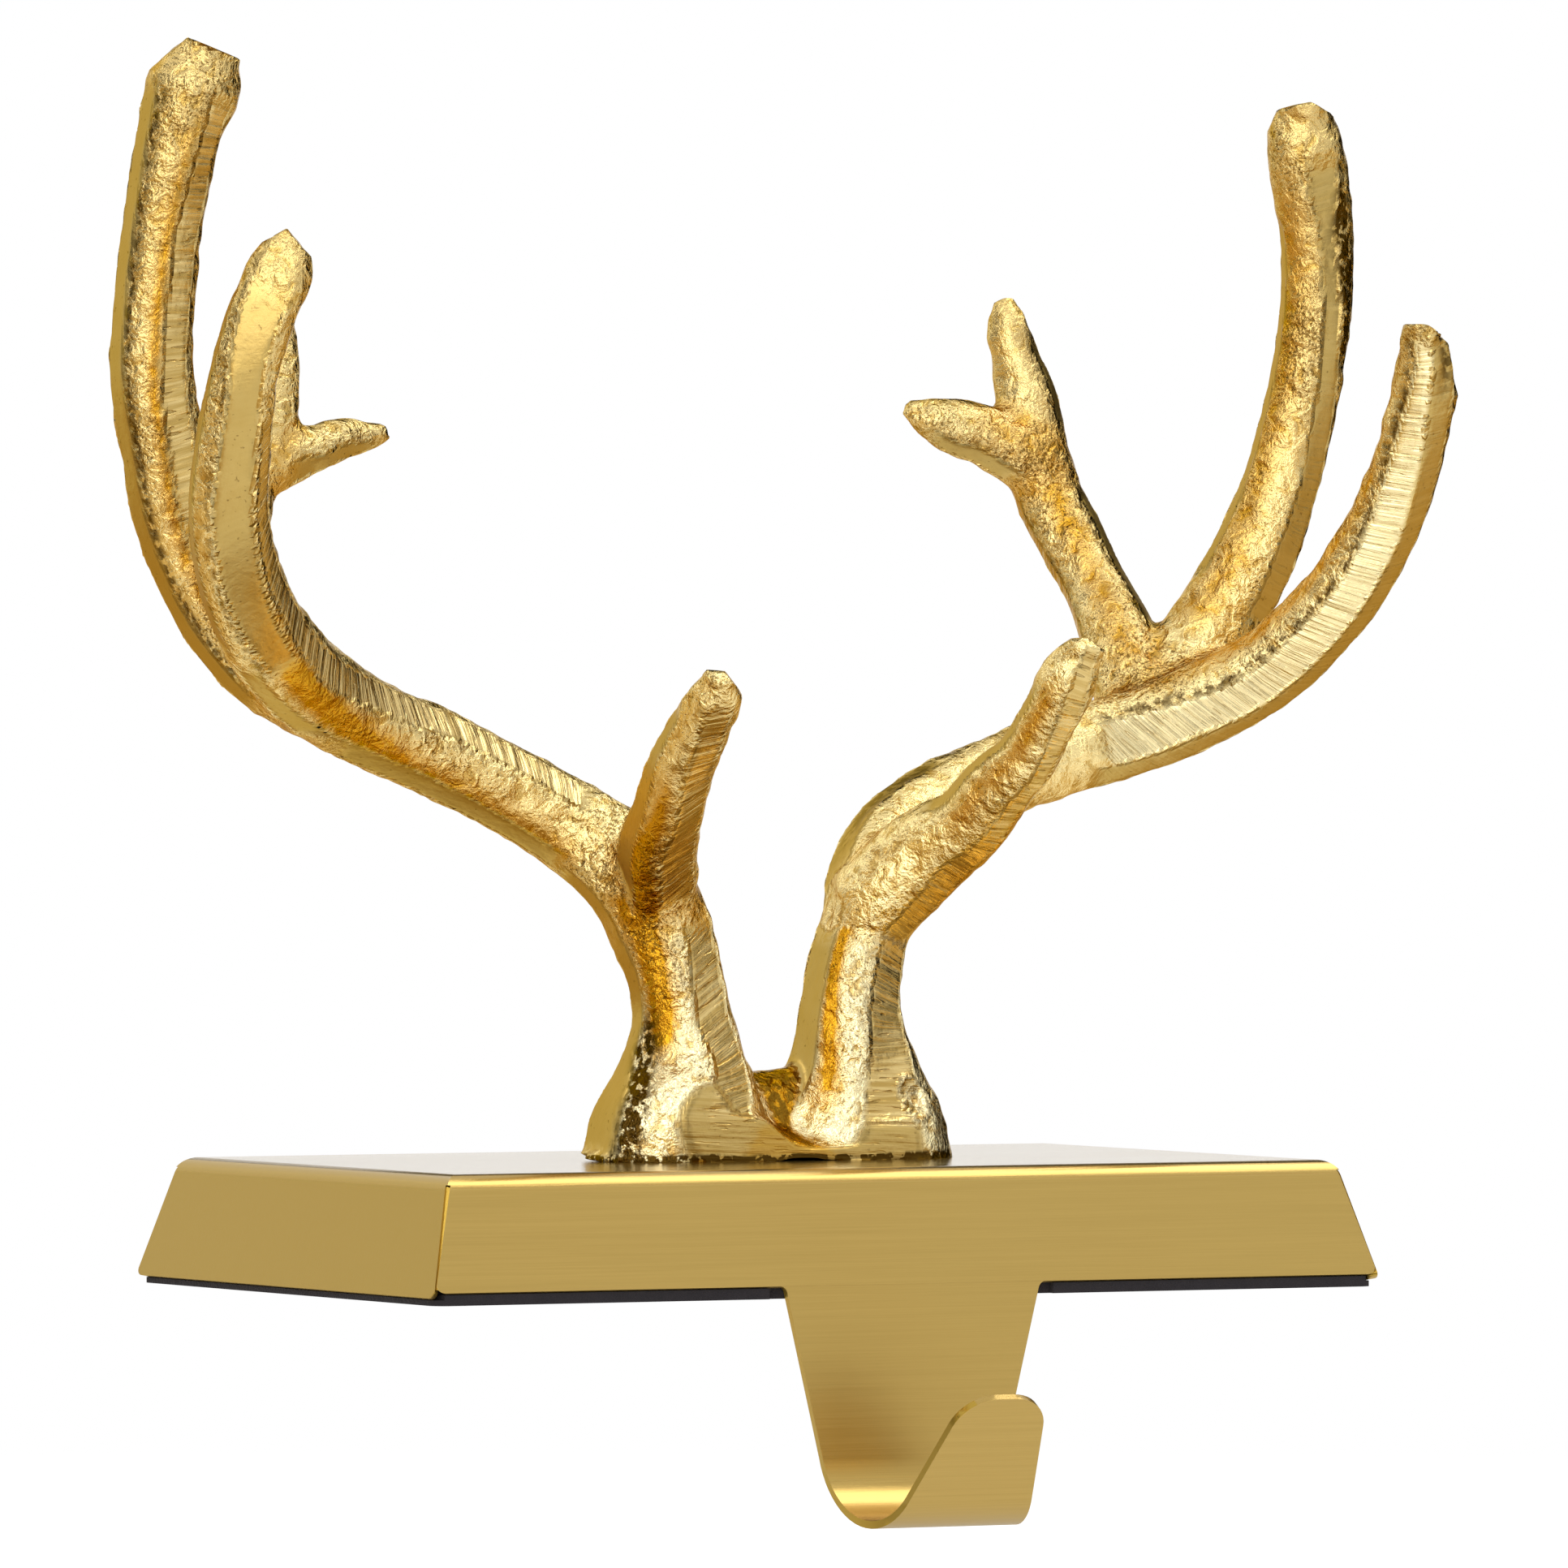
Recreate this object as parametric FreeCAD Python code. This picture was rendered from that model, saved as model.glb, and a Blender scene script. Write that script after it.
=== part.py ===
import FreeCAD, Part
import math
import os

# Mantel stocking holder: a weighted, folded sheet base with a hook in front and a cast pair
# of antlers screwed on top. Millimetres. The origin is at the centre of the pad's underside,
# X runs along the shelf edge, -Y is the side of the hook, +Z is up.

# Folded sheet cover
base_length = 127.7          # along X, over the bottoms of the side flaps
base_depth = 76.5            # along Y, over the bottoms of the front and back flaps
cover_height = 13.6          # top face down to the bottom edge of the front flap
flap_flare = 15.1            # degrees by which every flap leans outwards
side_flap_extra = 0.6        # the side flaps reach this much lower than the front flap
sheet = 0.9                  # sheet thickness
bend_radius = 2.5            # outer radius of the four top bends
corner_gap_top = 0.6         # open corner seam, just under the bends
corner_gap_bottom = 0.12     # open corner seam, at the bottom edge
corner_gap_start = 1.2       # the seam opens this far below the top face
flap_corner_radius = 0.8     # rounded lower corners of the flaps

# Hook, one piece with the front flap
hook_centre = -0.1           # middle of the hook, along X
tongue_width = 34.4          # width where it leaves the flap
tongue_taper = 13.8          # degrees by which each side leans in
tongue_length = 20.3         # from the flap's bottom edge to the start of the J
tongue_bend_radius = 2.0     # outer radius of the small bend from the flap to the tongue
notch_radius = 1.0           # rounding between the flap's edge and the tongue
tongue_root = 2.5            # the tongue starts this far up inside the flap
hook_radius = 8.0            # outer radius of the J
hook_open = 35.5             # degrees by which the lip leans away from the tongue
lip_length = 15.1            # flat part of the lip, up to its tip
bow_taper = 11.0             # degrees by which the strip narrows round the J and up the lip
lip_tip_flat = 2.4           # straight part of the lip's tip, between its two roundings
bow_sections = 12            # sections along the J

# Pad under the base
pad_thickness = 3.0
pad_showing = 1.5            # below the front flap's bottom edge
pad_clearance = 0.2          # between the pad and the insides of the flaps
pad_inset = 0.3              # the pad's rim stays this far inside the flaps' outer edges
pad_corner_radius = 2.0

# Weight inside the cover
weight_clearance = 0.3       # between the weight and the start of the bends
weight_corner_radius = 1.5

# Screws that hold the antlers, from below
screw_diameter = 4.0
screw_reach = 6.9            # thread in the foot, above the cover
screw_head_diameter = 8.0
screw_head_height = 2.6
screw_head_edge = 0.6        # rounding of the head
recess_width = 0.8           # cross recess in the head
recess_span = 3.6
recess_depth = 1.4
screw_spacing = 23.0         # between the two screws, along X
screw_row = -1.5             # both screws lie this far from the middle, along Y
hole_clearance = 0.25        # radial, in the cover and in the weight
thread_clearance = 0.05      # radial, in the tapped holes of the foot
hole_extra_depth = 1.5       # the tapped holes go this much deeper than the screws
counterbore_clearance = 0.75  # radial, round the screw heads
counterbore_extra = 0.4      # depth below the screw heads

# Foot of the antlers
foot_front = -10.5           # the foot is ground flat in front, at this Y
saddle_height = 10.5         # web between the two stems
saddle_depth = 13.0
saddle_row = 0.5             # middle of the web, along Y
saddle_reach = 11.0          # the web runs this far into each stem, along X
saddle_rise = 4.0            # it is this much higher there
saddle_spread = 2.0          # and this much deeper
saddle_skirt = 3.0           # it widens by this on each side at the cover
saddle_shoulder = 0.6        # share of the height where its sides start to slope
saddle_crest = 0.5           # share of the depth that is level on top

# Antlers: X outwards from the middle, Y, height above the cover, width across the flats
antler_height = 131.5        # from the cover to the middle of the highest tip
left_stem = [
    (12.0, -1.0, 0.0, 23.5), (11.5, -1.5, 4.5, 22.0), (11.0, -1.5, 11.0, 16.0), (11.5, -2.0, 17.0, 12.0),
    (12.5, -1.5, 23.0, 11.5), (14.0, -0.5, 28.5, 12.5), (16.5, 1.0, 33.5, 12.0), (20.0, 4.5, 38.0, 11.5),
    (26.0, 6.5, 42.0, 10.5), (38.5, 7.0, 48.0, 10.5), (48.0, 5.5, 51.5, 10.5), (55.5, 3.5, 54.5, 11.0),
    (63.0, -0.5, 58.5, 11.0), (69.5, -5.0, 63.5, 10.5), (75.0, -10.0, 69.5, 10.0), (79.5, -16.0, 77.0, 9.5),
    (81.0, -20.0, 84.5, 9.0), (81.5, -23.5, 92.5, 8.0), (80.5, -25.5, 99.0, 8.0), (78.5, -27.0, 105.0, 7.5),
]
left_stem_tip = (77.5, -27.5, 109.5, 4.5)
left_top = [
    (56.5, 5.0, 54.5, 9.5), (62.5, 7.5, 59.0, 10.5), (69.0, 7.5, 65.5, 10.0), (74.5, 6.5, 75.0, 10.0),
    (77.5, 5.0, 84.5, 10.0), (79.5, 4.0, 94.0, 10.0), (79.5, 3.0, 104.0, 9.5), (79.0, 1.5, 113.0, 9.5),
    (78.0, 0.0, 121.5, 10.0), (76.5, -1.0, 127.5, 11.0),
]
left_top_tip = (75.5, -2.0, 131.5, 8.5)
left_fork = [
    (57.0, 6.0, 54.5, 9.0), (58.5, 14.5, 62.0, 7.5), (59.0, 20.0, 68.0, 8.0), (58.0, 24.0, 74.0, 8.0),
    (56.0, 27.0, 80.0, 8.5), (53.0, 27.5, 86.5, 8.0), (51.5, 27.5, 92.5, 6.5), (50.5, 28.0, 97.5, 5.0),
]
left_fork_tip = (50.0, 28.5, 102.5, 2.5)
left_side = [
    (54.5, 26.5, 82.0, 7.5), (48.5, 27.0, 84.5, 6.5), (45.5, 27.0, 85.0, 5.5), (42.5, 27.5, 86.0, 5.0),
    (38.5, 28.0, 86.5, 3.5),
]
left_side_tip = (36.0, 28.0, 87.0, 2.0)
left_brow = [
    (13.5, 0.5, 29.5, 10.0), (18.5, -8.5, 37.0, 9.5), (21.0, -16.0, 42.0, 8.5), (22.5, -22.0, 47.5, 8.0),
    (23.0, -28.0, 52.5, 7.0), (23.5, -32.0, 55.5, 6.5),
]
left_brow_tip = (24.0, -34.0, 57.5, 4.5)

right_stem = [
    (12.5, -1.0, 0.0, 25.0), (12.5, -1.0, 4.5, 22.5), (12.0, -1.5, 11.0, 16.0), (11.5, -2.0, 17.0, 12.5),
    (12.5, -1.5, 23.0, 11.5), (14.0, -1.0, 28.0, 11.0), (16.5, 1.0, 34.0, 11.0), (22.0, 4.5, 39.0, 10.5),
    (29.0, 6.5, 43.0, 9.5), (37.0, 7.0, 45.5, 10.0), (45.5, 6.5, 48.5, 10.5), (53.5, 5.0, 50.5, 10.5),
    (61.0, 2.5, 53.5, 10.5), (69.5, -2.0, 58.5, 10.0), (75.0, -9.0, 66.5, 9.5), (78.0, -14.5, 75.0, 9.0),
    (79.0, -19.0, 83.0, 8.5), (79.0, -22.5, 90.0, 8.0), (78.5, -25.0, 95.5, 7.0),
]
right_stem_tip = (77.0, -26.5, 99.5, 4.5)
right_top = [
    (57.0, 5.0, 52.5, 9.5), (63.5, 7.5, 58.5, 10.5), (68.5, 8.0, 64.5, 10.5), (72.5, 7.0, 71.5, 10.5),
    (76.0, 6.0, 80.5, 9.5), (78.5, 4.5, 92.0, 9.0), (79.5, 3.0, 102.5, 9.0), (79.0, 2.0, 111.0, 9.0),
    (77.0, 0.5, 118.5, 9.5), (75.5, -0.5, 124.0, 9.0),
]
right_top_tip = (75.0, -1.5, 126.5, 7.0)
right_fork = [
    (58.0, 6.0, 53.5, 9.0), (58.0, 14.5, 63.5, 8.5), (57.5, 19.0, 69.0, 8.0), (56.5, 23.0, 74.5, 8.5),
    (55.0, 26.0, 80.0, 8.5), (53.5, 27.0, 86.5, 8.5), (52.5, 27.5, 92.5, 7.5), (51.5, 28.0, 96.5, 6.0),
    (50.5, 28.0, 100.5, 5.0),
]
right_fork_tip = (50.0, 28.5, 104.0, 2.5)
right_side = [
    (54.0, 26.0, 83.5, 9.0), (47.0, 27.0, 87.0, 7.5), (43.0, 27.5, 88.0, 7.0), (40.0, 27.5, 89.0, 5.5),
    (37.5, 28.0, 90.0, 3.5),
]
right_side_tip = (36.0, 28.0, 90.5, 2.0)
right_brow = [
    (14.0, -2.0, 29.5, 11.5), (18.5, -8.0, 36.5, 11.0), (21.0, -13.5, 40.0, 9.5), (22.0, -19.0, 44.5, 8.5),
    (23.0, -24.0, 48.0, 7.5), (23.5, -28.5, 52.5, 7.0), (24.0, -32.5, 57.5, 7.0),
]
right_brow_tip = (24.5, -35.0, 61.0, 5.0)

filed_side = FreeCAD.Vector(0.35, -0.94, 0.0)     # flats of the stems and of the long tines
fork_filed_side = FreeCAD.Vector(1.0, 0.25, 0.0)  # flats of the forked branches

# Worked out from the sizes above
top_z = pad_showing + cover_height
flare = math.radians(flap_flare)
flare_slope = math.tan(flare)
bend_tangent = bend_radius * math.tan((math.pi / 2 - flare) / 2)
top_half_length = base_length / 2 - flare_slope * cover_height
top_half_depth = base_depth / 2 - flare_slope * cover_height
weight_top = top_z - sheet
weight_bottom = pad_thickness
counterbore_depth = screw_head_height + counterbore_extra
head_seat = weight_bottom + counterbore_depth
screw_top = top_z + screw_reach
screw_length = screw_top - head_seat
screw_places = [("left", -screw_spacing / 2), ("right", screw_spacing / 2)]
rise = antler_height / left_top_tip[2]
over = 1.0                   # cutting tools run this far past what they cut
tiny = 0.01                  # closer than this counts as the same place
short_edge = 1.5 * sheet     # an edge across the sheet is shorter than this


def vec(x, y, z):
    return FreeCAD.Vector(x, y, z)


def cylinder(radius, height, x, y, z):
    return Part.makeCylinder(radius, height, vec(x, y, z))


def rounded_slab(half_length, half_depth, z_low, z_high, radius):
    corner = vec(-half_length, -half_depth, z_low)
    slab = Part.makeBox(2 * half_length, 2 * half_depth, z_high - z_low, corner)
    upright = [e for e in slab.Edges if e.BoundBox.ZLength > tiny]
    return slab.makeFillet(radius, upright)


def flat_sided(lower, upper):
    """Solid with flat faces between two outlines that have the same number of points."""
    faces = [Part.Face(Part.makePolygon(ring + ring[:1])) for ring in (lower, upper)]
    for k in range(len(lower)):
        quad = [lower[k - 1], lower[k], upper[k], upper[k - 1]]
        faces.append(Part.Face(Part.makePolygon(quad + quad[:1])))
    return Part.makeSolid(Part.makeShell(faces))


def flap_face_at(half_top, z):
    """Distance from the middle to the outer face of a flap at height z."""
    return half_top + flare_slope * (top_z - z)


def flap_profile(half_top, flap_length):
    """Section of one bend with its flap: first value outwards, second value up."""
    out = (math.cos(flare), math.sin(flare))
    down = (math.sin(flare), -math.cos(flare))
    start = half_top - bend_tangent
    centre = (start, top_z - bend_radius)
    middle = math.radians((90.0 + flap_flare) / 2)
    inner = bend_radius - sheet

    def on_bend(radius, angle):
        return vec(centre[0] + radius * math.cos(angle), 0, centre[1] + radius * math.sin(angle))

    inside_start = vec(start - over, 0, top_z - sheet)
    outside_start = vec(start - over, 0, top_z)
    bottom_out = vec(half_top + down[0] * flap_length, 0, top_z + down[1] * flap_length)
    bottom_in = bottom_out - vec(out[0] * sheet, 0, out[1] * sheet)
    bend_outer = [on_bend(bend_radius, a) for a in (math.pi / 2, middle, flare)]
    bend_inner = [on_bend(inner, a) for a in (flare, middle, math.pi / 2)]
    edges = [
        Part.makeLine(outside_start, bend_outer[0]),
        Part.Arc(*bend_outer).toShape(),
        Part.makeLine(bend_outer[2], bottom_out),
        Part.makeLine(bottom_out, bottom_in),
        Part.makeLine(bottom_in, bend_inner[0]),
        Part.Arc(*bend_inner).toShape(),
        Part.makeLine(bend_inner[2], inside_start),
        Part.makeLine(inside_start, outside_start),
    ]
    return Part.Face(Part.Wire(edges))


def mitre_outline(half_out, half_across, gap, z):
    """Plan of one flap's share of the base, between its two 45 degree mitre lines."""
    reach = 2 * over + flare_slope * cover_height
    inset = half_out - over - bend_tangent
    back = gap / math.sqrt(2)
    outer_across = half_across + reach - back * 2
    inner_across = half_across - half_out + inset - back * 2
    return [
        vec(inset, -inner_across, z), vec(half_out + reach, -outer_across, z),
        vec(half_out + reach, outer_across, z), vec(inset, inner_across, z),
    ]


def flap(half_top, half_across, z_bottom):
    """One bend and flap on the +X side, with mitred ends and rounded lower corners."""
    flap_length = (top_z - z_bottom) / math.cos(flare)
    body = flap_profile(half_top, flap_length).extrude(vec(0, 4 * half_across, 0))
    body.translate(vec(0, -2 * half_across, 0))
    z_gap = top_z - corner_gap_start
    closed = flat_sided(
        mitre_outline(half_top, half_across, 0, z_gap), mitre_outline(half_top, half_across, 0, top_z + over))
    opened = flat_sided(
        mitre_outline(half_top, half_across, corner_gap_bottom / 2, z_bottom - over),
        mitre_outline(half_top, half_across, corner_gap_top / 2, z_gap))
    body = body.common(closed.fuse(opened))
    corners = [
        e for e in body.Edges
        if e.BoundBox.ZMax < z_bottom + over and e.BoundBox.YLength < sheet and e.Length < short_edge]
    return body.makeFillet(flap_corner_radius, corners)


def turned(shape, degrees):
    copy = shape.copy()
    copy.rotate(vec(0, 0, 0), vec(0, 0, 1), degrees)
    return copy


def strip_section(outer_point, normal, half_width):
    """Rectangle across the strip, from its outer face inwards; points are (y, z)."""
    y, z = outer_point
    inner_y = y - normal[0] * sheet
    inner_z = z - normal[1] * sheet
    points = [
        vec(hook_centre - half_width, y, z), vec(hook_centre + half_width, y, z),
        vec(hook_centre + half_width, inner_y, inner_z), vec(hook_centre - half_width, inner_y, inner_z),
    ]
    return Part.makePolygon(points + points[:1])


def hook():
    """Tongue, J and lip, starting inside the front flap."""
    flap_bottom = pad_showing
    face = -flap_face_at(top_half_depth, flap_bottom)
    side_slope = math.tan(math.radians(tongue_taper))
    bow_slope = math.tan(math.radians(bow_taper))
    half_top = tongue_width / 2

    # The outline seen from the front trims a bent strip of full width
    turn = tongue_bend_radius * math.tan(flare / 2)
    bend_centre_y = face + tongue_bend_radius
    bend_z = flap_bottom - turn
    j_z = flap_bottom - tongue_length
    inner = tongue_bend_radius - sheet

    def on_bend(radius, angle):
        return vec(0, bend_centre_y - radius * math.cos(angle), bend_z + radius * math.sin(angle))

    flap_up = vec(0, math.sin(flare), math.cos(flare)) * (tongue_root + turn)
    bend_out = [on_bend(tongue_bend_radius, a) for a in (flare, flare / 2, 0)]
    bend_in = [on_bend(inner, a) for a in (0, flare / 2, flare)]
    low_out = vec(0, face, j_z)
    low_in = vec(0, face + sheet, j_z)
    profile = Part.Wire([
        Part.makeLine(bend_out[0] + flap_up, bend_out[0]),
        Part.Arc(*bend_out).toShape(),
        Part.makeLine(bend_out[2], low_out),
        Part.makeLine(low_out, low_in),
        Part.makeLine(low_in, bend_in[0]),
        Part.Arc(*bend_in).toShape(),
        Part.makeLine(bend_in[2], bend_in[2] + flap_up),
        Part.makeLine(bend_in[2] + flap_up, bend_out[0] + flap_up),
    ])
    half_root = half_top + 2 * notch_radius
    root_top = flap_bottom + tongue_root + over
    strip = Part.Face(profile).extrude(vec(2 * half_root, 0, 0))
    strip.translate(vec(hook_centre - half_root, 0, 0))
    half_low = half_top - side_slope * (flap_bottom - j_z)
    outline = [
        (-half_root, root_top), (-half_root, flap_bottom), (-half_top, flap_bottom), (-half_low, j_z),
        (half_low, j_z), (half_top, flap_bottom), (half_root, flap_bottom), (half_root, root_top),
    ]
    points = [vec(hook_centre + x, face - hook_radius, z) for x, z in outline]
    trim = Part.Face(Part.makePolygon(points + points[:1])).extrude(vec(0, 2 * hook_radius, 0))
    notches = [
        e for e in trim.Edges
        if e.BoundBox.YLength > over
        and abs(e.BoundBox.ZMin - flap_bottom) < tiny
        and abs(abs(e.BoundBox.XMin - hook_centre) - half_top) < tiny]
    tongue = strip.common(trim.makeFillet(notch_radius, notches))

    # The J: sections of a strip that narrows evenly along its length
    j_centre_y = face - hook_radius + sheet
    sweep = math.pi - math.radians(hook_open)
    sections = []
    for step in range(bow_sections + 1):
        angle = sweep * step / bow_sections
        half = half_low - bow_slope * hook_radius * angle
        normal = (math.cos(angle), -math.sin(angle))
        outer = (j_centre_y + hook_radius * normal[0], j_z + hook_radius * normal[1])
        sections.append(strip_section(outer, normal, half))
    bow = Part.makeLoft(sections, True, False)

    # The lip: flat, in its own plane, with a rounded tip
    half_lip = half_low - bow_slope * hook_radius * sweep
    half_end = half_lip - bow_slope * lip_length
    lip_outline = [
        vec(-half_lip, 0, 0), vec(half_lip, 0, 0),
        vec(half_end, 0, lip_length), vec(-half_end, 0, lip_length),
    ]
    lip = Part.Face(Part.makePolygon(lip_outline + lip_outline[:1])).extrude(vec(0, sheet, 0))
    tip_edges = [
        e for e in lip.Edges if e.BoundBox.ZMin > lip_length - tiny and e.BoundBox.XLength < tiny]
    corner_share = math.tan(math.radians(90.0 - bow_taper) / 2)
    lip = lip.makeFillet((half_end - lip_tip_flat / 2) / corner_share, tip_edges)
    lip.rotate(vec(0, 0, 0), vec(1, 0, 0), hook_open)
    end = (math.cos(sweep), -math.sin(sweep))
    lip.translate(vec(hook_centre, j_centre_y + hook_radius * end[0], j_z + hook_radius * end[1]))
    return tongue.fuse([bow, lip])


def base_cover():
    """The folded sheet: top, four flaps, and the hook that grows out of the front flap."""
    plate_half_length = top_half_length - bend_tangent
    plate_half_depth = top_half_depth - bend_tangent
    plate = Part.makeBox(
        2 * plate_half_length, 2 * plate_half_depth, sheet,
        vec(-plate_half_length, -plate_half_depth, top_z - sheet))
    side_bottom = pad_showing - side_flap_extra
    side = flap(top_half_length, top_half_depth, side_bottom)
    front = flap(top_half_depth, top_half_length, pad_showing)
    cover = plate.fuse([side, turned(side, 180), turned(front, 90), turned(front, -90), hook()])
    hole_radius = screw_diameter / 2 + hole_clearance
    for name, x in screw_places:
        cover = cover.cut(cylinder(hole_radius, sheet + 2 * over, x, screw_row, top_z - sheet - over))
    return cover.removeSplitter()


def weight_plate():
    """Iron slab under the cover's top, with counterbored holes for the screws."""
    inset = bend_tangent + weight_clearance
    slab = rounded_slab(
        top_half_length - inset, top_half_depth - inset, weight_bottom, weight_top, weight_corner_radius)
    hole_radius = screw_diameter / 2 + hole_clearance
    counterbore_radius = screw_head_diameter / 2 + counterbore_clearance
    depth = counterbore_depth + over
    for name, x in screw_places:
        slab = slab.cut(cylinder(hole_radius, weight_top, x, screw_row, weight_bottom))
        slab = slab.cut(cylinder(counterbore_radius, depth, x, screw_row, weight_bottom - over))
    return slab


def foot_pad():
    """Foam pad pressed into the mouth of the cover, with a rim under the flaps' edges."""
    wall = sheet / math.cos(flare) + pad_clearance
    inside_length = flap_face_at(top_half_length, pad_thickness) - wall
    inside_depth = flap_face_at(top_half_depth, pad_thickness) - wall
    rim_length = base_length / 2 - pad_inset
    rim_depth = base_depth / 2 - pad_inset
    edge_drop = sheet * math.sin(flare)
    rim_top = pad_showing - edge_drop
    side_rim_top = rim_top - side_flap_extra
    rim = rounded_slab(rim_length, rim_depth, 0, rim_top, pad_corner_radius)
    for x in (inside_length, -rim_length - over):
        rim = rim.cut(Part.makeBox(
            rim_length - inside_length + over, 2 * rim_depth, rim_top,
            vec(x, -rim_depth, side_rim_top)))
    half_root = tongue_width / 2 + 2 * notch_radius
    tongue_back = sheet + pad_clearance - base_depth / 2
    rim = rim.cut(Part.makeBox(
        2 * half_root, tongue_back + rim_depth + over, rim_top,
        vec(hook_centre - half_root, -rim_depth - over, 0)))
    inside = rounded_slab(inside_length, inside_depth, 0, pad_thickness, pad_corner_radius)
    return inside.fuse(rim).removeSplitter()


def screw(x):
    """Round-headed screw, head down, with a cross recess."""
    head_bottom = head_seat - screw_head_height
    head = cylinder(screw_head_diameter / 2, screw_head_height, x, screw_row, head_bottom)
    rim = [e for e in head.Edges if e.BoundBox.ZMax < head_bottom + tiny]
    head = head.makeFillet(screw_head_edge, rim)
    shank = cylinder(screw_diameter / 2, screw_length, x, screw_row, head_seat)
    body = head.fuse(shank)
    for span, width in ((recess_span, recess_width), (recess_width, recess_span)):
        body = body.cut(Part.makeBox(
            span, width, recess_depth + over,
            vec(x - span / 2, screw_row - width / 2, head_bottom - over)))
    return body.removeSplitter()


def eight_sided(centre, along, facing, width):
    """Section with eight flats, one of them turned to the facing direction."""
    across = (facing - along * facing.dot(along)).normalize()
    third = along.cross(across)
    corner = width / 2 / math.cos(math.pi / 8)
    points = []
    for k in range(8):
        angle = math.pi / 8 + k * math.pi / 4
        points.append(centre + across * (corner * math.cos(angle)) + third * (corner * math.sin(angle)))
    return Part.makePolygon(points + points[:1])


def tine(stations, tip, side, facing, upright_start=False):
    """A curved rod through its stations, with a blunt tip; side is -1 left and +1 right."""
    places = [vec(side * x, y, top_z + z * rise) for x, y, z, width in stations + [tip]]
    widths = [width for x, y, z, width in stations + [tip]]
    sections = []
    for k, place in enumerate(places):
        before = places[max(k - 1, 0)]
        after = places[min(k + 1, len(places) - 1)]
        along = (after - before).normalize()
        if upright_start and k == 0:
            along = vec(0, 0, 1)
        sections.append(eight_sided(place, along, facing, widths[k]))
    rod = Part.makeLoft(sections[:-1], True, False)
    end = Part.makeLoft(sections[-2:], True, True)
    return rod.fuse(end)


def saddle():
    """Web between the stems, low in the middle and with sloped sides."""
    wires = []
    for x in (-saddle_reach, 0.0, saddle_reach):
        height = saddle_height + saddle_rise * abs(x) / saddle_reach
        half = (saddle_depth + saddle_spread * abs(x) / saddle_reach) / 2
        shoulder = height * saddle_shoulder
        crest = half * saddle_crest
        outline = [
            (-half - saddle_skirt, 0.0), (half + saddle_skirt, 0.0), (half, shoulder),
            (crest, height), (-crest, height), (-half, shoulder),
        ]
        points = [vec(x, saddle_row + y, top_z + z) for y, z in outline]
        wires.append(Part.makePolygon(points + points[:1]))
    return Part.makeLoft(wires, True, False)


def antlers():
    """Both antlers and the foot that joins them, cast as one piece."""
    rods = []
    rods.append(tine(left_stem, left_stem_tip, -1, filed_side, True))
    rods.append(tine(left_top, left_top_tip, -1, filed_side))
    rods.append(tine(left_brow, left_brow_tip, -1, filed_side))
    rods.append(tine(left_fork, left_fork_tip, -1, fork_filed_side))
    rods.append(tine(left_side, left_side_tip, -1, fork_filed_side))
    rods.append(tine(right_stem, right_stem_tip, 1, filed_side, True))
    rods.append(tine(right_top, right_top_tip, 1, filed_side))
    rods.append(tine(right_brow, right_brow_tip, 1, filed_side))
    rods.append(tine(right_fork, right_fork_tip, 1, fork_filed_side))
    rods.append(tine(right_side, right_side_tip, 1, fork_filed_side))
    casting = saddle().fuse(rods)
    bounds = casting.BoundBox
    ground = Part.makeBox(
        bounds.XLength, bounds.YLength, saddle_height * 2,
        vec(bounds.XMin, foot_front - bounds.YLength, top_z - saddle_height))
    casting = casting.cut(ground)
    below = Part.makeBox(bounds.XLength, bounds.YLength, top_z, vec(bounds.XMin, bounds.YMin, 0))
    casting = casting.cut(below)
    hole_radius = screw_diameter / 2 + thread_clearance
    hole_depth = screw_top + hole_extra_depth - top_z
    for name, x in screw_places:
        casting = casting.cut(cylinder(hole_radius, hole_depth + over, x, screw_row, top_z - over))
    return casting.removeSplitter()


os.makedirs("parts", exist_ok=True)
pieces = {
    "base_cover": base_cover(),
    "weight_plate": weight_plate(),
    "foot_pad": foot_pad(),
    "antlers": antlers(),
}
for name, x in screw_places:
    pieces["antler_screw_" + name] = screw(x)
for name, shape in pieces.items():
    box = shape.BoundBox
    print(name, "solids", len(shape.Solids), "valid", shape.isValid(), "volume", round(shape.Volume, 1),
          "z", round(box.ZMin, 2), round(box.ZMax, 2), "faces", len(shape.Faces))
    shape.exportStep("parts/" + name + ".step")
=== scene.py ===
import math

import bmesh
import bpy
import numpy as np
from mathutils import Matrix, Vector, noise


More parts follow.
